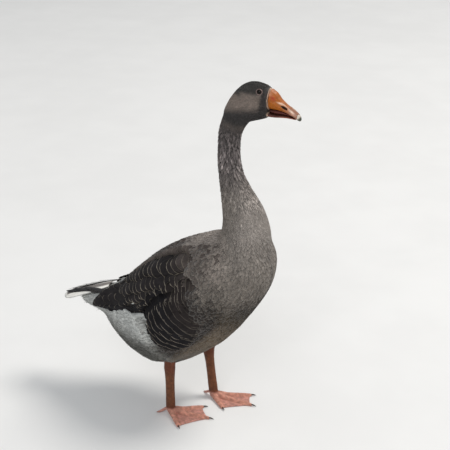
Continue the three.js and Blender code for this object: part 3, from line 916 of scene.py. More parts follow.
def scatter(piece, spacing, seed, keep=None):  # even but irregular places on a surface
    rng = np.random.default_rng(seed)
    mesh = piece.data
    mesh.calc_loop_triangles()
    corners = np.empty(len(mesh.loop_triangles) * 3, dtype=np.int32)
    mesh.loop_triangles.foreach_get("vertices", corners)
    places = vertexPlaces(piece)
    a, b, c = (places[corners.reshape(-1, 3)[:, k]] for k in range(3))
    cross = np.cross(b - a, c - a)
    area = np.linalg.norm(cross, axis=1) / 2
    normal = cross / np.maximum(np.linalg.norm(cross, axis=1), 1e-12)[:, None]
    middle = (a + b + c) / 3
    wanted = area / (spacing(middle) * np.ones(len(middle))) ** 2
    if keep is not None:
        wanted = wanted * keep(middle, normal)
    count = int(wanted.sum() * 4.5)
    chosen = rng.choice(len(area), size=count, p=wanted / wanted.sum())
    u, v = rng.random(count), rng.random(count)
    over = u + v > 1
    u, v = np.where(over, 1 - u, u), np.where(over, 1 - v, v)
    spots = a[chosen] + (b - a)[chosen] * u[:, None] + (c - a)[chosen] * v[:, None]
    radii = spacing(spots) * np.ones(count)
    index = KDTree(count)
    for i in range(count):
        index.insert(spots[i], i)
    index.balance()
    free = np.ones(count, dtype=bool)
    taken = []
    for i in range(count):
        if free[i]:
            taken.append(i)
            for _, j, _ in index.find_range(spots[i], radii[i] * 0.86):
                free[j] = False
    return spots[taken], normal[chosen[taken]]


def drape(tree, points):  # the nearest places on a surface, and the way it faces there
    found = [tree.find_nearest(Vector(point)) for point in points.reshape(-1, 3)]
    places = np.array([spotFound[0] for spotFound in found]).reshape(points.shape)
    return places, np.array([spotFound[1] for spotFound in found]).reshape(points.shape)


def layFeathers(name, form, line, lengths, widths, tint, look, seed, bakePlaces, tree=None):
    # line is the middle lines' places, ups and ways, of one feather a row
    look = {**plainFeather, **look}
    rng = np.random.default_rng(seed)
    spots, ups, ways = line
    shares, profile = np.array(forms[form]["shares"]), np.array(forms[form]["widths"])
    across, lift = (np.array(values, dtype=float) for values in rings[forms[form]["ring"]])
    count, steps, around = len(spots), len(shares), len(across)
    roll = np.tan(np.radians(rng.normal(0, look["roll"], count)))[:, None, None]
    out = np.cross(ups, ways)
    rise = look["sink"] * mm * (rng.uniform(0.8, 1.2, count)[:, None] * (1 - shares))
    rise += rng.normal(0, look["uneven"], count)[:, None] * mm * (0.3 + 0.7 * shares)
    rise += np.asarray(look["inset"]).reshape(-1, 1) * mm
    swing = rng.normal(0, look["swing"], count)[:, None] * shares ** 2
    half = (widths[:, None] * profile / 2)[:, :, None]
    ragged = 1 + rng.normal(0, look["ragged"], (count, steps, around)) * (np.abs(across) > 0.6)
    aside = across * half * ragged
    slip = rng.normal(0, look["frayed"], (count, steps, around)) * (np.abs(across) > 0.6)
    slip = slip * shares[None, :, None] * lengths[:, None, None]
    thick = look["thick"] * mm * lift * np.clip(1.3 - shares, 0.4, 1)[None, :, None]
    height = thick - look["camber"] * half * across ** 2 + aside * roll - rise[:, :, None]
    sideways = aside + (swing * lengths[:, None])[:, :, None]
    base = spots[:, :, None, :] + out[:, :, None, :] * sideways[..., None]
    base = base + ways[:, :, None, :] * slip[..., None]
    facing = ups[:, :, None, :]
    if tree:
        base, facing = drape(tree, base)
    verts = (base + facing * height[..., None]).reshape(-1, 3)
    k, r = np.meshgrid(np.arange(steps - 1), np.arange(around), indexing="ij")
    following = (r + 1) % around
    low, high = k * around, (k + 1) * around
    walls = np.stack([low + r, high + r, high + following, low + following], axis=-1).reshape(-1, 4)
    caps = np.stack([np.arange(around), (steps - 1) * around + np.arange(around)[::-1]])
    base = (np.arange(count) * steps * around)[:, None]
    wallLoops = (walls.ravel() + base).reshape(count, -1)
    capLoops = (caps.ravel() + base).reshape(count, -1)
    loops = np.concatenate([wallLoops, capLoops], axis=1).ravel()
    sizes = np.tile(np.concatenate([np.full(len(walls), 4), np.full(2, around)]), count)
    mesh = bpy.data.meshes.new(name)
    mesh.vertices.add(len(verts))
    mesh.vertices.foreach_set("co", verts.astype(np.float32).ravel())
    mesh.loops.add(len(loops))
    mesh.loops.foreach_set("vertex_index", loops.astype(np.int32))
    mesh.polygons.add(len(sizes))
    mesh.polygons.foreach_set("loop_start", (np.cumsum(sizes) - sizes).astype(np.int32))
    mesh.update(calc_edges=True)
    piece = bpy.data.objects.new(name, mesh)
    bpy.context.collection.objects.link(piece)
    setTint(piece, np.repeat(tint, steps * around, axis=0))
    u = 0.5 + 0.5 * across[None] * profile[:, None]
    v = np.tile(shares[:, None], (1, around))
    vane = np.tile(np.stack([u, v], axis=-1).reshape(-1, 2), (count, 1))
    bakeSize = look["patch"]
    local = (np.stack([u - 0.5, v - 0.5], axis=-1).reshape(-1, 2)) * bakeSize
    baked = (bakePlaces[:, None, :] + local[None]).reshape(-1, 2)
    for label, values in (("OFBake", baked), ("Vane", vane)):
        layer = mesh.uv_layers.new(name=label)
        layer.uv.foreach_set("vector", values[loops].astype(np.float32).ravel())
    return piece


def unitSquare(values):  # fits each column of places on an unwrap into the square of the map
    low, high = values.min(0), values.max(0)
    return 0.01 + 0.98 * (values - low) / np.maximum(high - low, 1e-9)


def roundUnwrap(points, centre, turn=0.0):  # the skin unrolled as a globe round the body's middle
    away = points - centre
    c, s = math.cos(turn), math.sin(turn)
    along, up = away[:, 0] * c + away[:, 2] * s, away[:, 2] * c - away[:, 0] * s
    reach = np.linalg.norm(away, axis=1)
    angle = np.arccos(np.clip(along / reach, -1, 1))
    return unitSquare(np.stack([np.arctan2(up, away[:, 1]), angle], axis=1))


def tubeUnwrap(points, middle):  # the skin unrolled as a tube round the neck
    x, y, z = birdCoords(points)
    return unitSquare(np.stack([np.arctan2(y, x - middle(z)), z], axis=1))


def vary(tint, amount, seed):  # each feather's own shade
    rng = np.random.default_rng(seed)
    return tint * np.exp(rng.normal(0, amount, len(tint)))[:, None]


wingEdge = np.array([
    [-196, 12, 9], [-190, 26, 6], [-176, 46, 14], [-160, 66, 22], [-142, 79, 28], [-120, 84, 31],
    [-86, 85, 28], [-50, 85, 20.5], [-8, 84, 26], [25, 82, 24.5], [60, 79, 20.5], [92, 75, 16.5],
    [118, 69, 17], [140, 57, 31], [148, 46, 42],
])
flankEdge = np.array([
    [80, -25], [64, -32], [44, -38], [22, -43], [0, -42.5], [-24, -37], [-42, -28], [-51, -18], [-55, -6.5],
    [-52, 5], [-44, 15], [-30, 22], [-12, 26], [8, 25.5], [24, 24], [60, 20],
])
flankFocus = np.array([106, 4])
turnSize = 1.72  # millimetres of a degree round the side


def flankShare(along, turn):  # 0 at the flank's focus, 1 at its rear outline
    rows = flankEdge - flankFocus
    angles = np.arctan2(rows[:, 1] * turnSize, -rows[:, 0])
    reaches = np.hypot(rows[:, 0], rows[:, 1] * turnSize)
    back, high = along - flankFocus[0], (turn - flankFocus[1]) * turnSize
    reach = np.interp(np.arctan2(high, -back), angles, reaches)
    return np.where(back < 14, np.hypot(back, high) / reach, 2)


def underFeathers(points):  # hidden below the folded wing or the flank's feathers
    along, turn = sidePlace(points)
    top, bottom = (np.interp(along, wingEdge[:, 0], wingEdge[:, k]) for k in (1, 2))
    drop = 2 - 7 * ease(-20, -50, along)
    front = 104 + 4 * ripple(points, 24, 13)
    wing = (turn > bottom + drop) & (turn < top - 3) & (along < front) & (along > -194)
    seam = (turn > 8) & (turn < bottom + 4) & (along > -46) & (along < 66)
    return wing | seam | ((flankShare(along, turn) < 0.95) & (along < 86) & (along > -60))


plainFeather = {  # what a look leaves unsaid; millimetres, degrees and shares
    "roll": 2, "uneven": 0.1, "camber": 0.05, "thick": 0.35, "ragged": 0.02, "frayed": 0.008, "swing": 0.02,
    "inset": 0.0, "patch": 0.003,
}
coatLooks = {
    "body": {
        "spacing": 4.2, "length": 24, "width": 12, "sink": 2.4, "thick": 0.22, "ragged": 0.04,
        "frayed": 0.015,
        "swing": 0.06,
    },
    "rear": {
        "length": 29, "width": 10, "sink": 2.4, "roll": 3, "uneven": 0.12, "thick": 0.22, "ragged": 0.06,
        "frayed": 0.02, "swing": 0.12,
    },
    "wisps_": {
        "length": 14, "width": 0.9, "sink": 1.0, "roll": 10, "uneven": 0.2, "camber": 0, "thick": 0.25,
        "ragged": 0.08, "frayed": 0.02, "swing": 0.18,
    },
    "down_": {
        "length": 20, "width": 1.1, "sink": 1.2, "roll": 10, "uneven": 0.35, "camber": 0, "thick": 0.3,
        "ragged": 0.08, "frayed": 0.02, "swing": 0.25,
    },
    "neck": {
        "spacing": 2.6, "length": 14, "width": 4.4, "sink": 2.6, "roll": 9, "uneven": 0.25, "camber": 0.25,
        "ragged": 0.1, "frayed": 0.03, "swing": 0.07,
    },
    "head": {
        "spacing": 1.12, "length": 5.2, "width": 1.4, "sink": 1.05, "roll": 10, "uneven": 0.07,
        "camber": 0.2,
        "thick": 0.16, "ragged": 0.08, "frayed": 0.02, "swing": 0.1,
    },
}


def headShare(points):
    x, _, z = birdCoords(points)
    return ease(594, 612, z + (x - 40) * 0.35)


def layCoat(name, form, points, look, seed, tintOf, unwrap, scale=None, tree=fullTree):
    rng = np.random.default_rng(seed)
    grown = np.ones(len(points)) if scale is None else scale(points)
    lengths = look["length"] * mm * grown * rng.uniform(0.85, 1.15, len(points))
    widths = look["width"] * mm * grown * rng.uniform(0.85, 1.15, len(points))
    line = overSurface(tree, points, lieAt(points), lengths, forms[form]["shares"])
    over = tree if form == "contour" else None
    return layFeathers(name, form, line, lengths, widths, tintOf(points), look, seed, unwrap(points), over)


def bodyTint(points):
    tint, fringe = markings(points)
    return np.column_stack([vary(tint, 0.05, 5), fringe])


def bodyScale(points):
    x, y, z = birdCoords(points)
    along, _, up = toFrame(bodyFrame, points)
    _, turn = sidePlace(points)
    nearWing = ease(160, 116, along - 0.25 * turn) * ease(10, 24, turn) * ease(86, 70, turn)
    nearFlank = ease(134, 84, along) * ease(-50, -34, turn) * ease(30, 14, turn)
    size = 1 + 0.1 * ease(60, 90, up) + 0.2 * ease(-60, -120, along) + 0.2 * nearWing + 0.15 * nearFlank
    size *= 1 - 0.45 * ease(360, 440, z)
    return size * (1 - 0.4 * ease(165, 135, z) * ease(20, 35, np.abs(y)) * ease(-60, -30, x))


def layBody():
    look = coatLooks["body"]

    def keep(points, normals):
        z = birdCoords(points)[2]
        leg = (z < 132) & (legGap(points) < 17)
        return (z > 108) & ~leg & (z < 452) & ~underFeathers(points)

    points, _ = scatter(fullGuide, lambda p: look["spacing"] * mm * bodyScale(p), 101, keep)
    along, _, _ = toFrame(bodyFrame, points)
    rear = along < -62
    centre = fromFrame(bodyFrame, 10, 0, 0)
    rng = np.random.default_rng(17)

    def unwrap(places):
        return roundUnwrap(places, centre, bodyFrame["pitch"])

    def wispTint(places):
        tint, _ = markings(places)
        light = rng.uniform(0.88, 1.2, len(places))
        return np.column_stack([np.clip(tint * light[:, None], 0, 1), np.zeros(len(places))])

    for name, side in sides.items():
        own = points[:, 1] * side > 0
        front, back = points[own & ~rear], points[own & rear]
        piece = layCoat("coat_" + name, "contour", front, look, 7, bodyTint, unwrap, bodyScale)
        finishPiece(piece, plumage["softPlumage"], "breast_plumage")
        piece = layCoat(
            "rear_coat_" + name, "contour", back, coatLooks["rear"], 8, bodyTint, unwrap, tree=bodyTree
        )
        finishPiece(piece, plumage["softPlumage"], "white_plumage")
        for label, base, copies, tree in (("wisps_", front, 3, fullTree), ("down_", back, 8, bodyTree)):
            tufts = np.repeat(base, copies, axis=0)
            tufts = tufts + rng.normal(0, 2.6 * mm, tufts.shape)
            piece = layCoat(label + name, "fluff", tufts, coatLooks[label], 19, wispTint, unwrap, tree=tree)
            slot = "breast_plumage" if label == "wisps_" else "white_plumage"
            finishPiece(piece, plumage["softPlumage"], slot)
    return len(points)


def layNeck():
    look = coatLooks["neck"]

    def keep(points, normals):
        return (birdCoords(points)[2] > 436) * (1 - headShare(points))

    points, normals = scatter(bodyGuide, lambda p: look["spacing"] * mm, 202, keep)
    x, y, z = birdCoords(points)
    turn = np.arctan2(np.abs(y), neckMiddle(z) - x) * 21  # millimetres round from the nape
    furrow = np.sin((turn * 1.0 + z * 0.42 + 1.2 * ripple(points, 30, 71)) * 2 * math.pi / 7.4)
    furrow *= ease(478, 540, z)
    tint, _ = markings(points)
    # darker in the furrows' grooves and lighter on their ridges: painted shade; the ripple adds uneven tone
    shade = np.exp(0.72 * furrow + 0.26 * ripple(points, 9, 72) * ease(455, 520, z))
    tint = vary(tint * shade[:, None], 0.2, 21)
    raised = points + normals * (0.55 * furrow * mm)[:, None]
    rng = np.random.default_rng(23)
    lengths = look["length"] * mm * rng.uniform(0.85, 1.15, len(points)) * (1 - 0.2 * ease(540, 600, z))
    widths = look["width"] * mm * rng.uniform(0.8, 1.2, len(points))
    spots, ups, ways = overSurface(bodyTree, points, lieAt(points), lengths, forms["narrow"]["shares"])
    spots = spots + (raised - points)[:, None, :] - ups * 0.5 * mm
    pale = 0.25 + 0.4 * ease(600, 470, z) * (0.5 + 0.5 * furrow)
    colours = np.column_stack([tint, pale])
    line, bake = (spots, ups, ways), tubeUnwrap(points, neckMiddle)
    piece = layFeathers("neck_coat", "narrow", line, lengths, widths, colours, look, 24, bake)
    finishPiece(piece, plumage["softPlumage"], "neck_plumage")
    return len(points)


def layHead():
    look = coatLooks["head"]
    lidPlaces = [eyeMiddle(side) + np.array(eyeNormal(side)) * 4 * mm for side in sides.values()]

    def keep(points, normals):
        free = headShare(points) * (billGap(points) > 1.1) * (normals[:, 0] < 0.93)
        for lid in lidPlaces:
            free = free * (np.linalg.norm(points - lid, axis=1) > 5.6 * mm)
        return free

    def spacing(places):
        return look["spacing"] * mm * (1 + 0.25 * ease(40, 20, birdCoords(places)[0]))

    points, _ = scatter(bodyGuide, spacing, 303, keep)
    centre = spot(72, 0, 645)

    def headTint(places):
        tint, _ = markings(places)
        return np.column_stack([vary(tint, 0.13, 31), np.full(len(places), 0.15)])

    def size(places):
        x = birdCoords(places)[0]
        near = np.min([np.linalg.norm(places - lid, axis=1) for lid in lidPlaces], axis=0) / mm
        shorter = 1 - 0.4 * ease(8, 3, billGap(places))
        return np.clip(0.55 + 0.45 * ease(6, 14, near), 0, 1) * shorter + 0.4 * ease(55, 35, x)

    def unwrap(places):
        return roundUnwrap(places, centre)

    piece = layCoat("head_coat", "velvet", points, look, 33, headTint, unwrap, scale=size)
    finishPiece(piece, plumage["softPlumage"], "head_plumage")
    return len(points)


print("body feathers:", layBody())
print("neck feathers:", layNeck())
print("head tufts:", layHead())


def beside(along, turn, side, out=0.0):  # a place on the body's side, by degrees up from its middle
    over, under, wide = girthAt(along)
    angle = np.radians(turn)
    narrow = 1 - 0.18 * np.maximum(0, -np.sin(angle)) ** 2
    return fromFrame(
        bodyFrame,
        along,
        side * (wide * narrow + out) * np.cos(angle),
        (over + under) / 2 + ((over - under) / 2 + out) * np.sin(angle),
    )


def wayAt(along, turn, side, slope):  # backward along the body, turned down by the slope in degrees
    back = beside(along - 1, turn, side) - beside(along + 1, turn, side)
    down = beside(along, turn - 1, side) - beside(along, turn + 1, side)
    back /= np.linalg.norm(back, axis=-1)[..., None]
    down -= back * (down * back).sum(-1)[..., None]
    down /= np.linalg.norm(down, axis=-1)[..., None]
    lean = np.radians(slope)[..., None]
    return back * np.cos(lean) + down * np.sin(lean)


# wing feathers from the lowest layer up, each row from front to rear: shade, step, width and length in mm,
# slope down from the body's line, height over the inset, fringe, and the line of the tips (along, turn)
wingKeys = ("shade", "step", "width", "length", "slope", "over", "fringe", "tips")
wingRows = [dict(zip(wingKeys, row)) for row in [
    ("rear", 9, 24, 86, [30, 6], 0.0, [0.75, 0.15],
     [[-30, 21], [-70, 22], [-120, 22], [-160, 16], [-188, 8]]),
    ("dark", 10, 30, 66, [28, 24], 0.8, [0.9, 0.7], [[40, 24], [-10, 29], [-50, 33], [-85, 37], [-115, 42]]),
    ("rear", 15, 27, 104, [12, 4], 1.5, [0.35, 0.3],
     [[-112, 36], [-134, 34], [-156, 28], [-176, 19], [-194, 10]]),
    ("tertial", 16, 26, 100, [4, -4], 2.2, [0.4, 0.3],
     [[-108, 55], [-132, 53], [-154, 47], [-174, 37], [-190, 24]]),
    ("tertial", 15, 24, 90, [-2, -8], 2.6, [0.45, 0.35],
     [[-104, 73], [-130, 72], [-154, 62], [-174, 48], [-186, 36]]),
    ("dark", 13, 40, 66, [14, 10], 2.0, [0.9, 0.75],
     [[84, 20], [40, 29], [0, 36], [-40, 43], [-80, 50], [-112, 56]]),
    ("dark", 13, 50, 70, [3, 1], 2.9, [0.8, 0.95],
     [[112, 36], [80, 43], [36, 50], [0, 54], [-50, 61], [-96, 70]]),
    ("top", 13, 42, 62, [0, -4], 3.4, [0.4, 0.8],
     [[128, 58], [95, 64], [60, 69], [20, 73], [-20, 77], [-60, 80], [-96, 82]]),
    ("front", 11, 26, 40, [12, 10], 3.2, [0.35, 0.5], [[132, 30], [106, 24]]),
    ("front", 11, 26, 40, [8, 8], 3.3, [0.35, 0.5], [[138, 44], [98, 31]]),
    ("front", 11, 28, 40, [4, 4], 3.5, [0.35, 0.5], [[140, 56], [104, 50]]),
]]
wingLook = {
    "dark": paint(37, 34, 35), "rear": paint(24, 23, 26), "front": paint(92, 83, 78),
    "top": paint(78, 70, 66),
    "tertial": paint(38, 35, 35), "inset": 3.6, "sink": 4.6, "roll": 0.6, "camber": 0.04, "ragged": 0.015,
    "swing": 0.03, "patch": 0.02,
}


def layWing(name, side):
    look = wingLook
    rng = np.random.default_rng(41)
    rows = []
    for row in wingRows:
        line = np.array(row["tips"], dtype=float)
        gaps = np.hypot(np.diff(line[:, 0]), np.diff(line[:, 1]) * turnSize)
        run = np.concatenate([[0], np.cumsum(gaps)])
        count = round(run[-1] / row["step"]) + 1
        at = np.linspace(0, run[-1], count) + rng.normal(0, 0.09 * row["step"], count)
        share = at / run[-1]
        rows.append(np.column_stack([
            np.interp(at, run, line[:, 0]),
            np.interp(at, run, line[:, 1]) + rng.normal(0, 1.2, count),
            row["width"] * rng.uniform(0.92, 1.08, count),
            row["length"] * rng.uniform(0.95, 1.05, count),
            row["slope"][0] + (row["slope"][1] - row["slope"][0]) * share + rng.normal(0, 2, count),
            np.full(count, look["inset"] - row["over"]),
            row["fringe"][0] + (row["fringe"][1] - row["fringe"][0]) * share,
            np.tile(look[row["shade"]], (count, 1)),
        ]))
    rows = np.concatenate(rows)
    along, turn, widths, lengths, slope, inset, fringe = rows[:, :7].T
    tips = beside(along, turn, side, 6)
    ways = wayAt(along, turn, side, slope)
    line = overSurface(fullTree, tips, ways, lengths * mm, forms["covert"]["shares"], fromTip=True)
    tint = blend(rows[:, 7:], look["front"], ease(24, 100, along + 0.2 * turn))
    tint = blend(tint, look["rear"], ease(-60, -120, along) * 0.4)
    fringe = np.clip(fringe * rng.uniform(0.65, 1.05, len(rows)) * (1 - 0.45 * ease(60, 110, along)), 0, 1)
    colours = np.column_stack([vary(tint, 0.1, 43), fringe])
    bake = unitSquare(np.stack([along, turn], axis=1)) * 0.95 + 0.02
    look = {**look, "inset": inset}
    label = "wing_feathers_" + name
    piece = layFeathers(label, "covert", line, lengths * mm, widths * mm, colours, look, 44, bake, fullTree)
    finishPiece(piece, plumage["wingPlumage"], "wing_plumage")
    return len(rows)


flankLook = {
    "steps": [1.0, 0.925, 0.85, 0.775, 0.7, 0.625, 0.55, 0.475, 0.4, 0.325, 0.25, 0.175], "width": 44,
    "length": 50,
    "dark": paint(22, 21, 24), "mid": paint(40, 35, 34), "front": paint(92, 83, 77), "inset": 0.8,
    "sink": 4.2, "roll": 0.8, "camber": 0.04, "ragged": 0.01, "patch": 0.03,
}


def layFlank(name, side):
    look = flankLook
    rng = np.random.default_rng(51)
    edge = flankEdge.astype(float)
    steps = np.hypot(np.diff(edge[:, 0]), np.diff(edge[:, 1]) * turnSize)
    run = np.concatenate([[0], np.cumsum(steps)])
    rows = []
    for number, ring in enumerate(look["steps"]):
        count = max(4, round(run[-1] * (0.2 + 0.8 * ring) / 26))
        for index in range(count):
            share = (index + (0.5 if number % 2 else 0.0)) / (count - 0.5)
            at = np.clip(share, 0, 1) * run[-1]
            away = np.array([np.interp(at, run, edge[:, 0]), np.interp(at, run, edge[:, 1])]) - flankFocus
            along, turn = flankFocus + away * ring
            rows.append([along, turn, away[0], away[1] * turnSize, ring, share])
    rows = np.array(rows)
    along, turn, backward, upward, ring, share = rows.T
    slope = np.clip(np.degrees(np.arctan2(-upward, -backward)) * 0.85, -40, 80)
    tips = beside(along, turn, side, 7)
    lengths = look["length"] * mm * (0.6 + 0.4 * ring) * rng.uniform(0.97, 1.03, len(rows))
    widths = look["width"] * mm * (0.55 + 0.45 * ring) * rng.uniform(0.96, 1.04, len(rows))
    ways = wayAt(along, turn, side, slope)
    line = overSurface(fullTree, tips, ways, lengths, forms["square"]["shares"], fromTip=True)
    tint = washes(look, "front", ("mid", ease(96, 54, along)), ("dark", ease(38, -2, along + 0.3 * turn)))
    fringe = 0.22 + 0.55 * ease(0.4, 0.8, ring) * ease(84, 20, along)
    colours = np.column_stack([vary(tint, 0.05, 53), np.clip(fringe, 0, 1)])
    bake = unitSquare(np.stack([along, turn], axis=1)) * 0.94 + 0.03
    label = "flank_feathers_" + name
    piece = layFeathers(label, "square", line, lengths, widths, colours, look, 54, bake, fullTree)
    finishPiece(piece, plumage["flankPlumage"], "flank_plumage")
    return len(rows)


tailLook = {
    "count": 16, "dark": paint(120, 114, 110), "light": paint(236, 233, 226), "width": 21, "sink": 0,
    "roll": 1,
    "camber": 0.1, "thick": 0.5, "frayed": 0.01, "swing": 0.01, "patch": 0.04,
}


def straightLine(roots, tips, ups, shares):
    shares = np.array(shares)[None, :, None]
    spots = roots[:, None] + (tips - roots)[:, None] * shares
    ways = (tips - roots) / np.linalg.norm(tips - roots, axis=1)[:, None]
    ways = np.repeat(ways[:, None], shares.shape[1], axis=1)
    ups = np.repeat(ups[:, None], shares.shape[1], axis=1)
    ups = ups - ways * (ups * ways).sum(-1)[..., None]
    return spots, ups / np.linalg.norm(ups, axis=-1)[..., None], ways


def layTail():
    look = tailLook
    fan = np.linspace(-1, 1, look["count"])
    order = np.abs(fan)
    tips = fromFrame(bodyFrame, -273.4 + 13 * order ** 2, 26 * fan, 72.2 - 2.4 * order)
    roots = fromFrame(bodyFrame, -160, 9 * fan, 69.5 - 1.5 * order)
    up = fromFrame(bodyFrame, 0, 0, 1) - fromFrame(bodyFrame, 0, 0, 0)
    lean = np.array([0, 1, 0]) * (fan * 0.18)[:, None] * mm
    ups = np.tile(up, (look["count"], 1)) + lean
    line = straightLine(roots, tips, ups / np.linalg.norm(ups, axis=1)[:, None], forms["quill"]["shares"])
    lengths = np.linalg.norm(tips - roots, axis=1)
    widths = np.full(look["count"], look["width"] * mm)
    tint = washes(look, "dark", ("light", ease(0.55, 0.95, order)))
    colours = np.column_stack([tint, np.ones(look["count"])])
    bake = np.stack([0.5 + 0.45 * fan, np.full(look["count"], 0.5)], axis=1)
    piece = layFeathers("tail_feathers", "quill", line, lengths, widths, colours, look, 61, bake)
    finishPiece(piece, plumage["tailPlumage"], "white_plumage", "tail")


primaryLook = {
    "tips": [
        [-270.5, 75.5, 4], [-262, 76, 5], [-250, 76.5, 6.5], [-235, 76.5, 8.5], [-218, 75.5, 12],
        [-200, 74, 17],
    ],
    "root": [-128, 52, 36], "width": 9, "tint": paint(30, 29, 31), "sink": 0, "camber": 0.12, "thick": 0.5,
    "swing": 0.01, "patch": 0.06,
}


def layPrimaries(name, side):
    look = primaryLook
    tips = np.array([fromFrame(bodyFrame, a, side * out, up) for a, up, out in look["tips"]])
    rootAlong, rootUp, rootOut = look["root"]
    count = len(tips)
    spread = np.linspace(0, 1, count)
    rootOut = side * (rootOut + 4 * spread)
    roots = fromFrame(bodyFrame, rootAlong + 14 * spread, rootOut, rootUp + 8 * (1 - spread))
    up = fromFrame(bodyFrame, 0, 0, 1) - fromFrame(bodyFrame, 0, 0, 0)
    ups = np.tile(up / mm * 0.95 + np.array([0, side * 0.3, 0]), (count, 1))
    line = straightLine(roots, tips, ups, forms["quill"]["shares"])
    lengths = np.linalg.norm(tips - roots, axis=1)
    widths = np.full(count, look["width"] * mm)
    colours = np.column_stack([np.tile(look["tint"], (count, 1)), np.full(count, 0.35)])
    bake = np.stack([0.1 + 0.8 * spread, np.full(count, 0.5)], axis=1)
    piece = layFeathers("primary_feathers_" + name, "quill", line, lengths, widths, colours, look, 71, bake)
    finishPiece(piece, plumage["flightPlumage"], "wing_plumage", "primaries_" + name)


for name, side in sides.items():
    print("wing feathers:", layWing(name, side), "flank feathers:", layFlank(name, side))
    layPrimaries(name, side)
layTail()
print("stage: wings, flanks, flight feathers and tail")


billLook = {
    "voxel": 0.56, "side": paint(158, 85, 8), "base": paint(196, 132, 98), "patch": paint(170, 58, 24),
    "top": paint(160, 94, 48), "tip": paint(138, 98, 80), "edge": paint(156, 94, 72),
    "under": paint(104, 60, 50), "mouthShade": paint(58, 27, 22), "nostrilShade": paint(24, 13, 11),
    "pale": paint(236, 212, 190), "nail": paint(196, 184, 170), "nailTip": paint(70, 72, 62),
    "tongue": paint(96, 50, 44), "nostril": [33, 8.6, 6.4, 1.3, 5],
}
hornMaterials = {
    "bill": makeHornMaterial("billHorn", 0.42, 240.0),
    "nail": makeHornMaterial("nailHorn", 0.36, 400.0),
    "mouth": makeHornMaterial("tongueSurface", 0.3, 300.0),
    "claw": makeHornMaterial("clawHorn", 0.4, 500.0),
}


def finishHorn(piece, tint, comb, material, slot, node):  # comb raises the horn's fine teeth and grooves
    setTint(piece, tint)
    setNumber(piece, comb, "comb")
    finishPiece(piece, hornMaterials[material], slot, node)


def nostrilShare(along, up):  # 1 on the nostril's edge
    middle, high, halfLong, halfHigh, tilt = billLook["nostril"]
    c, s = math.cos(math.radians(tilt)), math.sin(math.radians(tilt))
    a, b = along - middle, up - high
    return np.hypot((a * c - b * s) / halfLong, (a * s + b * c) / halfHigh)


def upperProfile(along):  # the bill's ridge and its cutting edge
    ridge = np.interp(along, [-4, 0, 6, 16, 22, 28, 34, 46, 58], [25, 24.8, 23, 18.5, 14.5, 12, 10, 8, 5.5])
    cut = np.interp(along, [-4, 6, 16, 22, 28, 34, 40, 52, 60], [-8, -8.4, -5.8, -2.5, 0.4, 2, 1.7, 0.6, 0.8])
    return ridge, cut


def makeUpperBill():
    look = billLook
    piece = voxelCopy("upper_bill", ["bill_upper"], look["voxel"], 4)
    places, normals = vertexPlaces(piece), vertexNormals(piece)
    along, out, up = toFrame(billFrame, places)
    share = nostrilShare(along, up)
    side = ease(3, 6, np.abs(out))
    brow = np.exp(-((share - 2.2) / 0.75) ** 2) * side * ease(-0.5, 1, up - 8.8 + 0.14 * (along - 33))
    moves = 0.45 * brow + 0.12 * ripple(places, 7, 81) - 0.5 * ease(1.2, 0.7, share) * side
    moveVertices(piece, places + normals * (moves * mm)[:, None])
    ridge, cut = upperProfile(along)
    height = (up - cut) / (ridge - cut)
    tint = washes(
        look,
        "side",
        ("base", ease(8, 1, along) * ease(0.62, 0.85, height)),
        ("patch", np.exp(-(((along - 9) / 5) ** 2 + ((up - 15) / 4) ** 2)) * 0.9),
        ("top", ease(0.72, 0.95, height) * 0.8),
        ("tip", ease(30, 48, along) * 0.85),
        ("edge", ease(0.2, 0.03, height) * ease(16, 34, along) * 0.8),
        ("pale", ease(1.5, -2.5, along + 0.12 * (up - 8)) * 0.75),
        ("pale", np.clip(brow, 0, 1) * 0.55),
        # the nostril's sunken opening is painted near black: painted shade
        ("nostrilShade", ease(1.15, 0.85, share) * side),
        # the upper bill's faces inside the mouth are painted dark: painted shade in the mouth
        ("mouthShade", (normals[:, 2] < -0.55) * ease(13.5, 11, np.abs(out)) * ease(0.1, 0.02, height)),
    )
    tint *= (1 + 0.05 * ripple(places, 14, 82))[:, None]
    teeth = np.sin(along * 2 * math.pi / 1.5) * ease(cut + 2.6, cut + 0.8, up) * ease(10, 16, along)
    finishHorn(piece, tint, teeth * 0.5, "bill", "bill_horn", "bill_upper")


def makeLowerBill():
    look = billLook
    piece = voxelCopy("lower_bill", ["bill_lower"], look["voxel"], 4)
    places, normals = vertexPlaces(piece), vertexNormals(piece)
    along = toFrame(billFrame, places)[0]
    # the lower bill's faces inside the mouth are painted dark: painted shade in the mouth
    mouthShade = ease(0.3, 0.8, normals[:, 2]) * 0.9
    # the lower mandible is painted a darker red-brown than the upper: painted shade under the bill
    tint = washes(look, "under", ("edge", ease(26, 44, along) * 0.7), ("mouthShade", mouthShade))
    tint *= (1 + 0.06 * ripple(places, 12, 83))[:, None]
    teeth = np.sin(along * 2 * math.pi / 1.5) * ease(0.2, 0.7, normals[:, 2])
    finishHorn(piece, tint, teeth * 0.5, "bill", "bill_horn", "bill_lower")


def makeNail():
    piece = voxelCopy("nail", ["bill_nail"], 0.45, 4)
    places = vertexPlaces(piece)
    along, _, up = toFrame(billFrame, places)
    tint = washes(billLook, "nail", ("nailTip", ease(59.5, 63.5, along - 0.25 * up)))
    tint *= (1 + 0.06 * ripple(places, 6, 84))[:, None]
    finishHorn(piece, tint, 0.2 * ripple(places, 3, 85), "nail", "bill_nail", "bill_nail")


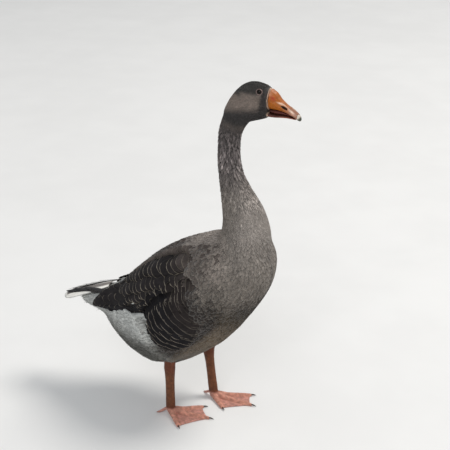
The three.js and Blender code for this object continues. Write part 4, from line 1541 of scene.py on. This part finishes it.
def makeTongue():
    piece = voxelCopy("tongue_surface", ["tongue"], 0.6, 5)
    places = vertexPlaces(piece)
    along, out, _ = toFrame(billFrame, places)
    # the tongue darkens towards the back of the mouth: painted shade
    tint = np.tile(billLook["tongue"], (len(places), 1)) * (1 - 0.5 * ease(26, 12, along))[:, None]
    spines = np.sin(along * 2 * math.pi / 2.2) * ease(3, 7, np.abs(out))
    finishHorn(piece, tint, spines * 0.6, "mouth", "mouth", "tongue")


eyeLook = {
    "radius": 6.05, "pupil": 24, "iris": 50, "black": paint(9, 8, 8), "brown": paint(34, 24, 18),
    "rim": paint(24, 19, 17),
}
eyeMaterial = makeEyeMaterial()


def makeEye(name, side):
    look = eyeLook
    deselect()
    bpy.ops.mesh.primitive_uv_sphere_add(
        segments=56, ring_count=36, radius=look["radius"] * mm, location=eyeMiddle(side)
    )
    piece = bpy.context.object
    piece.name = "eyeball_" + name
    bpy.ops.object.transform_apply(location=True, rotation=True, scale=True)
    places = vertexPlaces(piece)
    away = (places - eyeMiddle(side)) / (look["radius"] * mm)
    angle = np.degrees(np.arccos(np.clip(away @ np.array(eyeNormal(side)), -1, 1)))
    iris = ease(look["pupil"], look["pupil"] + 6, angle)
    rim = ease(look["iris"] - 8, look["iris"], angle)
    setTint(piece, washes(look, "black", ("brown", iris), ("rim", rim)))
    finishPiece(piece, eyeMaterial, "eye", "eye_" + name)


clawTint = {"root": paint(92, 78, 70), "tip": paint(40, 36, 34)}


def makeClaw(node):
    piece = voxelCopy("horn_" + node, [node], 0.4, 3)
    places = vertexPlaces(piece)
    share = (places[:, 0] - places[:, 0].min()) / np.ptp(places[:, 0])
    tint = washes(clawTint, "root", ("tip", ease(0.1, 0.8, share)))
    finishHorn(piece, tint, 0.2 * ripple(places, 2.5, 91), "claw", "claw", node)


makeUpperBill()
makeLowerBill()
makeNail()
makeTongue()
for name, side in sides.items():
    makeEye(name, side)
    for toe in ("inner", "middle", "outer"):
        makeClaw("claw_" + toe + "_" + name)
print("stage: bill, tongue, eyes and claws")


for guide in (bodyGuide, fullGuide):
    bpy.data.objects.remove(guide)
